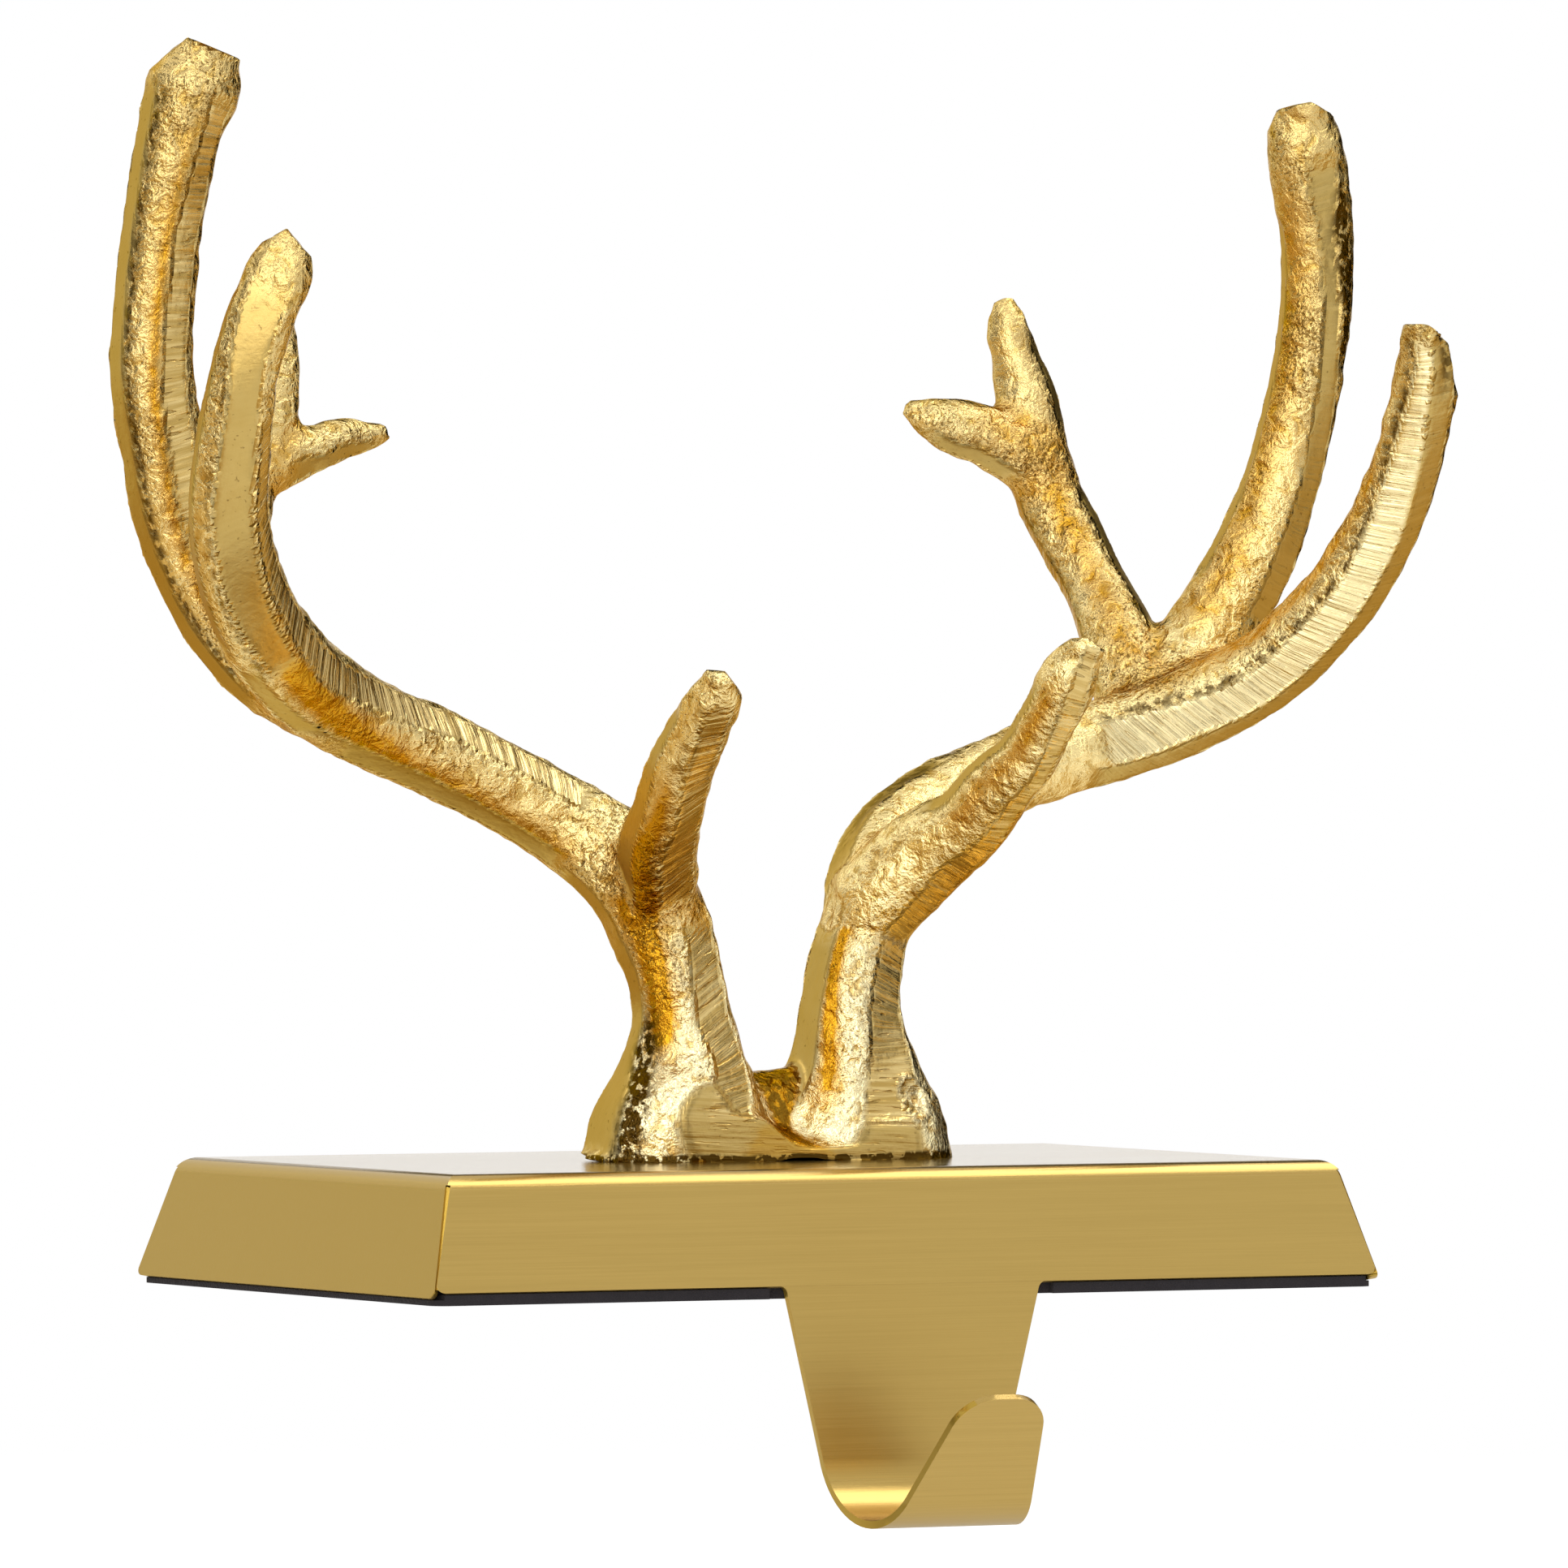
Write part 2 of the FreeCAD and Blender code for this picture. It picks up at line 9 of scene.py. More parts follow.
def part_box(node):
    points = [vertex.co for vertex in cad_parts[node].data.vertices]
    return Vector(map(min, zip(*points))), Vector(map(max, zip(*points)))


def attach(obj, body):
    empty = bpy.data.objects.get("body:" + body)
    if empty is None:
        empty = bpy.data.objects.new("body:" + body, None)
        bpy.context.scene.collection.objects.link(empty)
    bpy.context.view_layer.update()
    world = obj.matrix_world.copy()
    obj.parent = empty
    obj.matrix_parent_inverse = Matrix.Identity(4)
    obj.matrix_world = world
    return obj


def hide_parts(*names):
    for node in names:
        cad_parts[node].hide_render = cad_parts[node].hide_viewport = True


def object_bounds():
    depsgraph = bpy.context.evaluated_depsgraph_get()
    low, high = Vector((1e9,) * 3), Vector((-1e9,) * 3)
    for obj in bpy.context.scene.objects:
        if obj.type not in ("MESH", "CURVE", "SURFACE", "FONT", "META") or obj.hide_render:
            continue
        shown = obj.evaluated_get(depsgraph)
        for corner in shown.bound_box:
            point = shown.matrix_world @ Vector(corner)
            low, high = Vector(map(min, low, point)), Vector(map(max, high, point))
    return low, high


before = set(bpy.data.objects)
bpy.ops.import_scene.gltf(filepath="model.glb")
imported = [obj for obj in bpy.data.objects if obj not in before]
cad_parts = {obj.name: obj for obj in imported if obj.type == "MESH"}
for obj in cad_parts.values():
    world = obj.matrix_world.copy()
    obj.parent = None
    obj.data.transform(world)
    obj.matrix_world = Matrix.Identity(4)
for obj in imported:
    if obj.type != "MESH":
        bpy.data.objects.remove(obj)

# Mantel stocking holder: gold antlers on a brushed sheet base with a J hook in front.
# Shapes are worked out in millimetres and written in metres. Heights on the casting are above the cover.

MM = 0.001
cad_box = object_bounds()
cover_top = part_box("base_cover")[1].z / MM

# Rods of the casting
line_step = 0.5       # spacing of the rings along a tine
ring_points = 48
rod_fullness = 0.506  # radius as a share of the width across the flats
voxel = 0.57          # grid on which the rods are joined

# Filed flats, and the strips of another tone
edge_fade = 3.0            # a flat runs out over this length
flat_edge = (-0.03, 0.05)  # radians from outside to inside its edge, over which its look begins
least_cosine = 0.15        # keeps a flat's cut finite where it passes the side of the rod
groove_place = 0.55        # middle of the groove beside a flat, from the flat's edge
groove_width = 0.65
groove_depth = 0.22
strip_before = 4.0         # a strip starts this far before its first row
strip_after = 2.0          # and is whole this far after it

# Where tines meet
crease_start = 0.2  # skin is all crease where the second tine is nearer than this
blend_reach = 2.2   # and is free of it where that tine is farther than this
blend_rounds = 14
web_start = 0.4     # skin this far off its own tine begins to be the web between tines
web_full = 1.2
beam_low = 14.0     # between these heights the right antler's flats run on over its creases
beam_high = 45.0
beam_loss = 0.3     # share of a flat that a crease takes away there
highlight_loss = 0.2     # and the share of a flat with a painted highlight elsewhere
highlight_from = 0.5     # least strength of the painted highlight on such a flat

# Cast skin
evening = 0.30        # one light round of smoothing over the whole skin
lump_height = 0.26    # low swellings
lump_size = 3.6
grain_height = 0.17   # sand grain
grain_size = 1.7
ripple_height = 0.06  # unevenness of the flats
ripple_size = 5.0

# Foot
foot_front = -10.5     # its front is ground flat at this Y
foot_top = 16.0        # the ground face ends at this height
foot_fade = 12.0       # and begins to run out at this one
ground_reach = 0.7     # skin this near the ground face belongs to it
ground_edge = 0.5
ground_marks = 0.4     # file marks on the ground face
ground_lean = 0.05     # and how far they lean
border_width = 1.6     # strokes stop short of the ground face's border
foot_narrowing = 0.20  # share by which the foot is narrower from front to back
foot_flare_height = 12.0
stem_row = -1.0        # middle of the stems, along Y

# Saddle between the stems
saddle_rings = 27
saddle_points = 33
saddle_end = 12.5         # X of its ends, inside the stems
saddle_span = 11.0        # X at which its climb and spread are measured
saddle_height = 10.6      # lowest, in the middle
saddle_climb = 3.5
saddle_half = 6.5         # half its depth in the middle
saddle_spread = 0.8
saddle_middle = 0.5       # along Y
saddle_fullness = 0.9     # under 1 its section is fuller than an ellipse
saddle_root = 1.0         # its lower edge reaches this far into the cover
skirt_front = 7.0         # the skirt at its foot stands out by this much
skirt_back = 3.0
skirt_taper = 0.4         # share of the front skirt that is lost towards the top
skirt_top_right = 2.3     # the front skirt is low on the right
skirt_rise = 4.0          # and this much higher on the left
skirt_turn = (-5.5, 0.5)  # X over which it changes
skirt_fade = (-1.5, 2.5)  # it runs out between these heights from its top

# Painted shade and painted amber reflection in the creases
contact_heights = (0.1, 0.7)  # painted contact shadow where the foot meets the cover
contact_shadow = 15.0
valley_heights = (9.0, 13.0)  # the valleys of the foot carry painted shade below this
valley_shade = 0.8
# painted shade in the dimple
flaw_shade = 0.8
front_half = (-2.0, 4.0)      # Y from the front, which shows, to the back
beam_amber_reflection = 0.08             # painted amber reflection in the creases of the right antler's beam
foot_amber_reflection = 0.3
foot_amber_reflection_front = 0.5        # added on the front half
crease_amber_reflection = 0.35           # all other creases
flat_cover = 0.5              # a flat hides this share of the painted amber reflection under it

# File strokes: each tine, and the ground face, reads its own part of the pattern
stroke_row = 40.0
ground_row = 600.0

# Cover
edge_break = 0.14             # the sheet's cut edges are broken by this much
edge_angle = 35               # degrees; flatter edges stay as they are
corner_half = (60.18, 34.58)  # corner of the top face, before its bends
seam_slope = 0.27             # the corner leans out by this much of its drop
seam_start = 1.4              # the corner seam, measured down from the top face
seam_end = 13.2
tab_near = 0.45               # the tab behind the seam lies this far in from the outer faces
tab_far = 1.6
tab_half = 0.4
level_share = 0.995           # upward share of a face's direction on the top face
bend_share = 0.35             # and least share on a bend
side_share = 0.5              # sideways share on the two side flaps

# Directions of the casting seen from the front, a little to the left
front_side = np.array((-0.485, -0.874, 0.0))
right_side_of_view = np.array((0.874, -0.485, 0.0))
upwards = np.array((0.0, 0.0, 1.0))

# Centre lines: X outwards, Y, height above the cover, width across the flats
left_stem = [
    (12, -1, -1, 23.5), (11.5, -1.5, 4.5, 22), (11, -1.5, 11, 16), (11.5, -2, 17, 12),
    (12.5, -1.5, 23, 11.5), (14, -0.5, 28.5, 12.5), (16.5, 1, 33.5, 12), (20, 4.5, 38, 11.5),
    (26, 6.5, 42, 10.5), (38.5, 7, 48, 10.5), (48, 5.5, 51.5, 10.5), (55.5, 3.5, 54.5, 11),
    (63, -0.5, 58.5, 11), (69.5, -5, 63.5, 10.5), (75, -10, 69.5, 10), (79.5, -16, 77, 9.5),
    (81, -20, 84.5, 9), (81.5, -23.5, 92.5, 8), (80.5, -25.5, 99, 8), (78.5, -27, 105, 7.5),
    (77.5, -27.5, 109.5, 4.5),
]
left_top = [
    (56.5, 5, 54.5, 9.5), (62.5, 7.5, 59, 10.5), (69, 7.5, 65.5, 10), (74.5, 6.5, 75, 10),
    (77.5, 5, 84.5, 10), (79.5, 4, 94, 10), (79.5, 3, 104, 9.5), (79, 1.5, 113, 9.5),
    (78, 0, 121.5, 10), (76.5, -1, 127.5, 11), (75.5, -2, 131.5, 8.5),
]
left_fork = [
    (57, 6, 54.5, 9), (58.5, 14.5, 62, 7.5), (59, 20, 68, 8), (58, 24, 74, 8),
    (56, 27, 80, 8.5), (53, 27.5, 86.5, 8), (51.5, 27.5, 92.5, 6.5), (50.5, 28, 97.5, 5),
    (50, 28.5, 102.5, 2.5),
]
left_side = [
    (54.5, 26.5, 82, 7.5), (48.5, 27, 84.5, 6.5), (45.5, 27, 85, 5.5), (42.5, 27.5, 86, 5),
    (38.5, 28, 86.5, 3.5), (36, 28, 87, 2),
]
left_brow = [
    (13.5, 0.5, 29.5, 10), (18.5, -8.5, 37, 9.5), (21, -16, 42, 8.5), (22.5, -22, 47.5, 8),
    (23, -28, 52.5, 7), (23.5, -32, 55.5, 6.5), (24, -34, 57.5, 4.5),
]
right_stem = [
    (12.5, -1, -1, 25), (12.5, -1, 4.5, 22.5), (12, -1.5, 11, 16), (11.5, -2, 17, 12.5),
    (12.5, -1.5, 23, 11.5), (14, -1, 28, 11), (16.5, 1, 34, 11), (22, 4.5, 39, 10.5),
    (29, 6.5, 43, 9.5), (37, 7, 45.5, 10), (45.5, 6.5, 48.5, 10.5), (53.5, 5, 50.5, 10.5),
    (61, 2.5, 53.5, 10.5), (69.5, -2, 58.5, 10), (75, -9, 66.5, 9.5), (78, -14.5, 75, 9),
    (79, -19, 83, 8.5), (79, -22.5, 90, 8), (78.5, -25, 95.5, 7.6), (77.2, -26.5, 99.5, 6.4),
]
right_top = [
    (57, 7, 52.5, 9), (63.5, 8.5, 58.5, 10), (68.5, 8.5, 64.5, 10.5), (72.5, 7, 71.5, 10.5),
    (76, 6, 80.5, 9.5), (78.5, 4.5, 92, 9), (79.5, 3, 102.5, 9), (79, 2, 111, 9),
    (77, 0.5, 118.5, 9.5), (75.5, -0.5, 124, 9), (75, -1.5, 126.5, 7),
]
right_fork = [
    (58, 8, 53.5, 10.5), (58, 14, 62.5, 9.5), (57.5, 19, 69, 8), (56.5, 23, 74.5, 8.5),
    (55, 26, 80, 8.5), (53.5, 27, 86.5, 8.5), (52.5, 27.5, 92.5, 7.5), (51.5, 28, 96.5, 6),
    (50.5, 28, 100.5, 5), (50, 28.5, 104, 2.5),
]
right_side = [
    (54, 26, 83.5, 9), (47, 27, 87, 7.5), (43, 27.5, 88, 7), (40, 27.5, 89, 5.5),
    (37.5, 28, 90, 3.5), (36, 28, 90.5, 2),
]
right_brow = [
    (14, -2, 29.5, 11.5), (18.5, -8, 36.5, 11), (21, -13.5, 40, 9.5), (22, -19, 44.5, 8.5),
    (23, -24, 48, 7.5), (23.5, -28.5, 52.5, 7), (24, -32.5, 57.5, 7), (24.5, -35, 61, 5),
]


def smooth_step(value, low, high):
    share = np.clip((value - low) / (high - low), 0.0, 1.0)
    return share * share * (3.0 - 2.0 * share)


def through(points, step):
    """Even samples of a smooth curve through the points; the rows are x, y, z and width."""
    points = np.array(points, float)
    first = 2 * points[0] - points[1]
    last = 2 * points[-1] - points[-2]
    knots = np.vstack([first, points, last])
    rows = []
    for k in range(1, len(knots) - 2):
        a, b, c, d = knots[k - 1:k + 3]
        count = max(2, int(np.linalg.norm(c[:3] - b[:3]) / step))
        for t in np.arange(count) / count:
            rows.append(0.5 * (2 * b + (c - a) * t + (2 * a - 5 * b + 4 * c - d) * t * t
                               + (3 * b - a - 3 * c + d) * t ** 3))
    rows.append(points[-1])
    return np.array(rows)


def flat(rows, marks=0.0, grooves=(0.0, 0.0), painted_highlight=0.0):
    """One filed flat along a tine. Each row is a length along the tine, the two angles between which the
    flat lies there, in degrees from the front, and its share of a flat's look, or else all of it. Marks is
    the strength of its file strokes, and grooves are the depths along its low and its high edge."""
    # The flat's last value paints a highlight on it, where light falls on the flat
    rows = [tuple(row) + (1.0,) if len(row) == 3 else row for row in rows]
    return {"rows": np.array(rows, float), "marks": marks, "grooves": grooves, "painted_highlight": painted_highlight}


def make_tine(name, stations, side, flats, longer=0.0, warm_reflection=(), painted_shade=(), slant=((0, 0.1),)):
    """A curved rod whose round section is cut by its flats. Its two kinds of strip are painted amber
    reflection and painted shade, with rows of length, angle from the front, half width and strength. The
    slant rows are a length and the angle, in radians, by which the file strokes lean there."""
    stations = [(side * x, y, cover_top + z, w) for x, y, z, w in stations]
    if longer:
        last = np.array(stations[-1])
        step = last - np.array(stations[-2])
        step[3] = 0.0
        stations.append(tuple(last + step / np.linalg.norm(step) * longer))
    rows = through(stations, line_step)
    line = rows[:, :3]
    along = np.gradient(line, axis=0)
    along /= np.linalg.norm(along, axis=1)[:, None]
    ahead = front_side[None, :] - along * (along @ front_side)[:, None]
    ahead /= np.linalg.norm(ahead, axis=1)[:, None]
    length = np.append(0.0, np.cumsum(np.linalg.norm(np.diff(line, axis=0), axis=1)))
    cuts = []
    for cut in flats:
        at, low, high, look = cut["rows"].T
        low = np.radians(np.interp(length, at, low))
        high = np.radians(np.interp(length, at, high))
        inside = smooth_step(length, at[0] - edge_fade, at[0])
        inside *= 1 - smooth_step(length, at[-1], at[-1] + edge_fade)
        cuts.append(dict(cut, middle=(low + high) / 2, half=(high - low) / 2, inside=inside,
                         look=np.interp(length, at, look)))
    return {"name": name, "line": line, "along": along, "ahead": ahead, "across": np.cross(along, ahead),
            "radius": rows[:, 3] * rod_fullness, "length": length, "cuts": cuts, "warm_reflection": warm_reflection,
            "painted_shade": painted_shade, "slant": slant}


def strip_share(tine, kind, index, angle):
    """How strong the strips of one kind are at these rings and angles of a tine."""
    result = np.zeros(len(index))
    length = tine["length"][index]
    for rows in tine[kind]:
        at, *values = np.array(rows, float).T
        middle, half, strength = (np.interp(length, at, row) for row in values)
        turn = np.degrees(angle) - middle
        turn = (turn + 180.0) % 360.0 - 180.0
        ends = smooth_step(length, at[0] - strip_before, at[0] + strip_after)
        ends = ends * (1 - smooth_step(length, at[-1] - strip_after, at[-1] + strip_before))
        result = np.maximum(result, strength * ends * np.exp(-(turn / half) ** 2))
    return result


def ring_radius(tine, index, angle):
    """Distance from the centre line to the skin at these rings and angles, and then how flat, how marked,
    how grooved the skin is there, and how strong the highlight painted on it is."""
    radius = tine["radius"][index]
    result = radius.copy()
    flatness, marks, groove, painted_highlight = np.zeros((4, len(radius)))
    for cut in tine["cuts"]:
        turn = angle - cut["middle"][index]
        turn = np.arctan2(np.sin(turn), np.cos(turn))
        half = cut["half"][index]
        inside = cut["inside"][index]
        depth = 1.0 - (1.0 - np.cos(half)) * inside
        result = np.minimum(result, radius * depth / np.maximum(np.cos(turn), least_cosine))
        cover = smooth_step(half - np.abs(turn), *flat_edge) * inside * cut["look"][index]
        flatness = np.maximum(flatness, cover)
        marks = np.maximum(marks, cover * cut["marks"])
        painted_highlight = np.maximum(painted_highlight, cover * cut["painted_highlight"])
        beyond = (np.abs(turn) - half) * radius
        strength = np.where(turn < 0, *cut["grooves"]) * inside
        groove = np.maximum(groove, strength * np.exp(-((beyond - groove_place) / groove_width) ** 2))
    return result, flatness, marks, groove, painted_highlight


tines = [
    make_tine("left_stem", left_stem, -1, longer=3.0, slant=[(0, 0.28)], flats=[
        flat([(7, 22, 62), (14, 32, 74), (18, 16, 70), (27, 26, 76), (31, 30, 78)], marks=1.0),
        flat([(2, -98, -38), (9, -98, -42), (15, -98, -58), (22, -98, -46), (30, -98, -50), (42, -96, -50)]),
        flat([(46, -80, -38), (60, -78, -34), (80, -74, -30), (98, -70, -34)]),
        flat([(48, 26, 72), (57, 31, 76), (66, 29, 74), (75, 22, 68), (84, 22, 66), (92, 17, 62),
              (98, 26, 70), (106, 38, 82), (111, 39, 84), (118, 45, 88), (126, 50, 90), (133, 49, 88)],
             marks=1.0, grooves=(0.3, 0.7), painted_highlight=0.3),
        flat([(100, -22, 22), (111, -24, 34), (122, -22, 42), (132, -18, 44), (138, -18, 42), (142, -31, 39),
              (148, -38, 38, 0.9), (152, -41, 34, 0.1), (158, -46, 30, 0.0)], marks=0.05, grooves=(0.6, 0.2)),
        flat([(104, -96, -58), (140, -96, -60), (146, -96, -64)]),
    ], warm_reflection=[
        [(16, -24, 18, 1.0), (24, -20, 20, 1.0), (34, -18, 26, 1.0)],
        [(44, -38, 22, 0.5), (70, -30, 20, 0.6), (86, -6, 24, 0.9), (100, 8, 22, 1.0), (114, 20, 14, 0.7)],
    ], painted_shade=[
        [(2, -31, 9, 1.6), (8, -33, 11, 1.6), (15, -44, 16, 1.6), (19, -40, 12, 0.9)],
        [(46, 74, 12, 0.5), (62, 76, 12, 0.5), (84, 74, 10, 0.4)],
    ]),
    make_tine("left_top", left_top, -1, longer=3.0, slant=[(0, 0.02)], flats=[
        flat([(12, 2, 44), (30, 6, 48), (45, 13, 56), (52, 20, 66), (60, 23, 68), (66, 24, 72), (70, 31, 76),
              (76, 36, 78), (80, 31, 72)], marks=1.0, grooves=(0.35, 0.8)),
        flat([(8, -98, -44), (38, -98, -40), (60, -98, -41), (79, -98, -42)], grooves=(0.0, 1.0)),
    ], warm_reflection=[[(14, -6, 12, 0.5), (45, 4, 9, 0.6), (66, 14, 9, 0.6), (78, 24, 9, 0.4)]]),
    make_tine("left_fork", left_fork, -1, flats=[]),
    make_tine("left_side", left_side, -1, flats=[
        flat([(3, 20, 75), (16, 20, 75)], grooves=(0.3, 0.0)),
    ]),
    make_tine("left_brow", left_brow, -1, longer=2.0, slant=[(0, 0.3)], flats=[
        flat([(6, 2, 62), (13, 11, 72), (21, 19, 78), (29, 17, 78), (38, 8, 66), (43, -4, 54)],
             marks=0.8, grooves=(0.3, 0.5)),
        flat([(5, -98, -40), (10, -98, -30), (18, -98, -34), (30, -98, -42), (38, -98, -52)]),
    ], warm_reflection=[[(2, -14, 24, 1.0), (18, -16, 22, 1.0), (30, -10, 16, 0.6)]]),
    make_tine("right_stem", right_stem, 1, longer=3.0, flats=[
        flat([(7, 8, 62), (12, 14, 70), (17, 22, 80), (24, 26, 82), (30, 30, 84)],
             marks=1.0, grooves=(0.2, 0.4)),
        flat([(5, -98, -44), (12, -98, -36), (24, -98, -33), (34, -98, -38), (42, -96, -48), (52, -94, -50)]),
        flat([(76, -28, 36), (80, -26, 39), (87, -16, 36), (92, -10, 42), (104, -16, 40), (116, -17, 35),
              (123, -27, 31), (134, -36, 17), (140, -33, 8), (147, -30, 5)],
             marks=0.8, grooves=(1.0, 0.1), painted_highlight=0.9),
        flat([(74, 36, 80), (80, 40, 82), (92, 43, 84), (104, 41, 84), (116, 36, 82), (123, 32, 80),
              (134, 18, 72), (140, 9, 66), (147, 6, 62)], marks=0.25, grooves=(0.0, 0.8)),
    ], warm_reflection=[
        [(10, -20, 12, 0.7), (20, -23, 9, 1.0), (34, -24, 9, 0.9)],
        [(84, -60, 20, 0.4), (130, -62, 16, 0.5)],
    ], painted_shade=[
        [(30, 4, 12, 0.4), (35, 6, 14, 0.9), (42, 6, 10, 0.5)],
        [(38, -74, 20, 0.6), (58, -74, 20, 0.6)],
        [(143, 42, 16, 1.0), (149, 42, 16, 1.0)],
    ], slant=[(0, -0.1), (62, -0.1), (74, 0.75), (96, 0.6), (120, 0.3), (147, 0.1)]),
    make_tine("right_top", right_top, 1, longer=3.0, slant=[(0, 0.05)], flats=[
        flat([(20, 33, 82), (26, 26, 82), (36, 28, 82), (41, 23, 74), (48, 19, 62), (56, 11, 42), (61, 4, 34),
              (67, 2, 28), (72, -5, 40), (75, -5, 48)], marks=0.15, grooves=(0.2, 1.0)),
        flat([(22, -98, -58), (68, -98, -60)]),
    ], warm_reflection=[[(14, -24, 26, 0.5), (40, -42, 30, 0.5), (60, -50, 34, 0.5), (72, -50, 30, 0.4)]], painted_shade=[
        [(50, 84, 12, 0.8), (53, 72, 20, 1.3), (58, 62, 24, 1.5), (62, 58, 28, 1.6), (68, 48, 26, 1.6),
         (73, 52, 16, 1.0), (76, 60, 10, 0.5)],
    ]),
    make_tine("right_fork", right_fork, 1, flats=[
        flat([(6, -100, -60), (42, -100, -60)], marks=1.0, grooves=(0.0, 0.6)),
        flat([(8, 56, 98), (50, 56, 98)], grooves=(0.8, 0.0)),
    ], warm_reflection=[[(4, 0, 30, 0.4), (34, 10, 24, 0.6)]]),
    make_tine("right_side", right_side, 1, flats=[
        flat([(3, -75, -30), (14, -75, -30)], grooves=(0.0, 0.5)),
    ], warm_reflection=[[(0, 20, 40, 0.5), (10, 20, 30, 0.3)]]),
    make_tine("right_brow", right_brow, 1, longer=2.0, slant=[(0, -0.15)], flats=[
        flat([(1, 32, 80), (6, 31, 80), (14, 28, 78), (19, 25, 76), (26, 34, 82), (31, 30, 80), (37, 19, 72),
              (43, 11, 62), (48, 6, 52)], marks=0.9, grooves=(0.2, 0.5)),
        flat([(16, -98, -56), (40, -98, -54)]),
    ], warm_reflection=[
        [(4, 70, 22, 0.8), (26, 74, 18, 0.8)],
        [(20, -20, 20, 0.4), (42, -24, 16, 0.6)],
    ]),
]

# Worn tips: the tip's middle, then its facets. A facet is its share towards the right of the view, its
# share upwards, its distance from the tip's middle, and how smooth it is
worn = {
    "left_top": ((-75.5, -2.0, 131.5), [
        (-0.61, 0.79, 2.1, 0.3), (0.38, 0.93, 0.4, 1.0)]),
    "left_stem": ((-77.5, -27.5, 109.5), [
        (-0.77, 0.64, 1.9, 0.0), (-0.49, 0.87, 0.5, 0.2), (0.76, 0.65, 0.0, 0.2)]),
    "left_brow": ((-24.0, -34.0, 57.5), [
        (-0.78, 0.63, 2.0, 0.2), (0.09, 1.0, 1.1, 1.0), (0.81, 0.59, 1.1, 0.2)]),
    "right_top": ((75.0, -1.5, 126.5), [
        (-0.91, 0.41, 3.1, 0.0), (-0.22, 0.98, 1.0, 0.8), (0.49, 0.87, 1.4, 0.2)]),
    "right_stem": ((77.0, -26.5, 99.5), [
        (-0.96, 0.28, 2.5, 0.0), (0.0, 1.0, 0.8, 0.4), (0.63, 0.77, 0.8, 0.2), (0.98, 0.18, 2.7, 0.2)]),
    "right_brow": ((24.5, -35.0, 61.0), [
        (-0.54, 0.84, 1.9, 0.6), (-0.05, 1.0, 1.5, 0.8), (0.62, 0.79, 1.6, 0.3)]),
}
tip_reach = 14.0       # facets cut only what lies this near the tip's middle
facet_smoothing = 0.5  # rounding of the facets' skin, on top of a little everywhere
tip_smoothing = 0.1

# Flaws of the foot: an oval dimple on the right stem, and a gap under the front edge
dimple_place = (16.5, -9.0, cover_top + 7.2)
dimple_along = np.array((0.35, -0.19, -0.92))
dimple_size = (2.4, 1.2)  # half length and half width
dimple_depth = 0.8
dimple_floor = 0.35       # share of its size over which it is deepest
dimple_reach = 4.0        # how far behind its middle the skin can lie
rim_place = 1.15          # its raised rim, as shares of its size
rim_width = 0.16
rim_height = 0.25
notch_middle = 0.6
notch_half = 2.8
notch_height = 0.4
notch_fade = 1.6          # it runs out at this height
notch_depth = 1.2         # it cuts only what is this near the ground face


def foot_squeeze(points):
    """The foot of each stem is wider along the base than across it."""
    height = points[:, 2] - cover_top
    share = 1.0 - foot_narrowing * (1.0 - smooth_step(height, 0.0, foot_flare_height))
    points[:, 1] = stem_row + (points[:, 1] - stem_row) * share
    return points


def ring_faces(base, rings, count):
    """Faces of a closed tube; its rings have count points each and start at point number base."""
    faces = []
    for k in range(rings - 1):
        for j in range(count):
            n = (j + 1) % count
            low = base + k * count
            high = low + count
            faces.append((low + j, low + n, high + n, high + j))
    faces.append(tuple(base + j for j in reversed(range(count))))
    faces.append(tuple(base + (rings - 1) * count + j for j in range(count)))
    return faces


def rod_mesh(tine, verts, faces):
    """Adds one closed rod to the lists of points and faces."""
    count = len(tine["line"])
    base = len(verts)
    angles = np.arange(ring_points) * 2 * math.pi / ring_points
    for k in range(count):
        radius = ring_radius(tine, np.full(ring_points, k), angles)[0]
        ring = (tine["line"][k] + tine["ahead"][k] * (radius * np.cos(angles))[:, None]
                + tine["across"][k] * (radius * np.sin(angles))[:, None])
        verts.extend(foot_squeeze(ring) * MM)
    faces.extend(ring_faces(base, count, ring_points))


def saddle_mesh(verts, faces):
    """Adds the web between the two stems, low in the middle, with a skirt along its foot."""
    base = len(verts)
    places = np.linspace(-saddle_end, saddle_end, saddle_rings)
    angles = np.linspace(0, math.pi, saddle_points)
    for x in places:
        rise = (x / saddle_span) ** 2
        height = saddle_height + saddle_climb * rise
        half = saddle_half + saddle_spread * rise
        skirt_top = skirt_top_right + skirt_rise * (1 - smooth_step(x, *skirt_turn))
        for angle in angles:
            up = math.sin(angle) ** saddle_fullness
            y = saddle_middle + half * math.cos(angle)
            z = height * up
            skirt = 1 - smooth_step(z, skirt_top + skirt_fade[0], skirt_top + skirt_fade[1])
            if math.cos(angle) < 0:
                y -= skirt_front * skirt * (1 - up * skirt_taper)
            else:
                y += skirt_back * skirt
            verts.append(np.array((x, y, cover_top + z - saddle_root * (1 - up))) * MM)
    faces.extend(face[::-1] for face in ring_faces(base, saddle_rings, saddle_points))


def placed(name, data):
    """A new object in the scene."""
    piece = bpy.data.objects.new(name, data)
    bpy.context.scene.collection.objects.link(piece)
    return piece


def from_points(name, verts, faces):
    mesh = bpy.data.meshes.new(name)
    mesh.from_pydata(verts, [], faces)
    return placed(name, mesh)


def evaluated_mesh(piece):
    graph = bpy.context.evaluated_depsgraph_get()
    return bpy.data.meshes.new_from_object(piece.evaluated_get(graph))


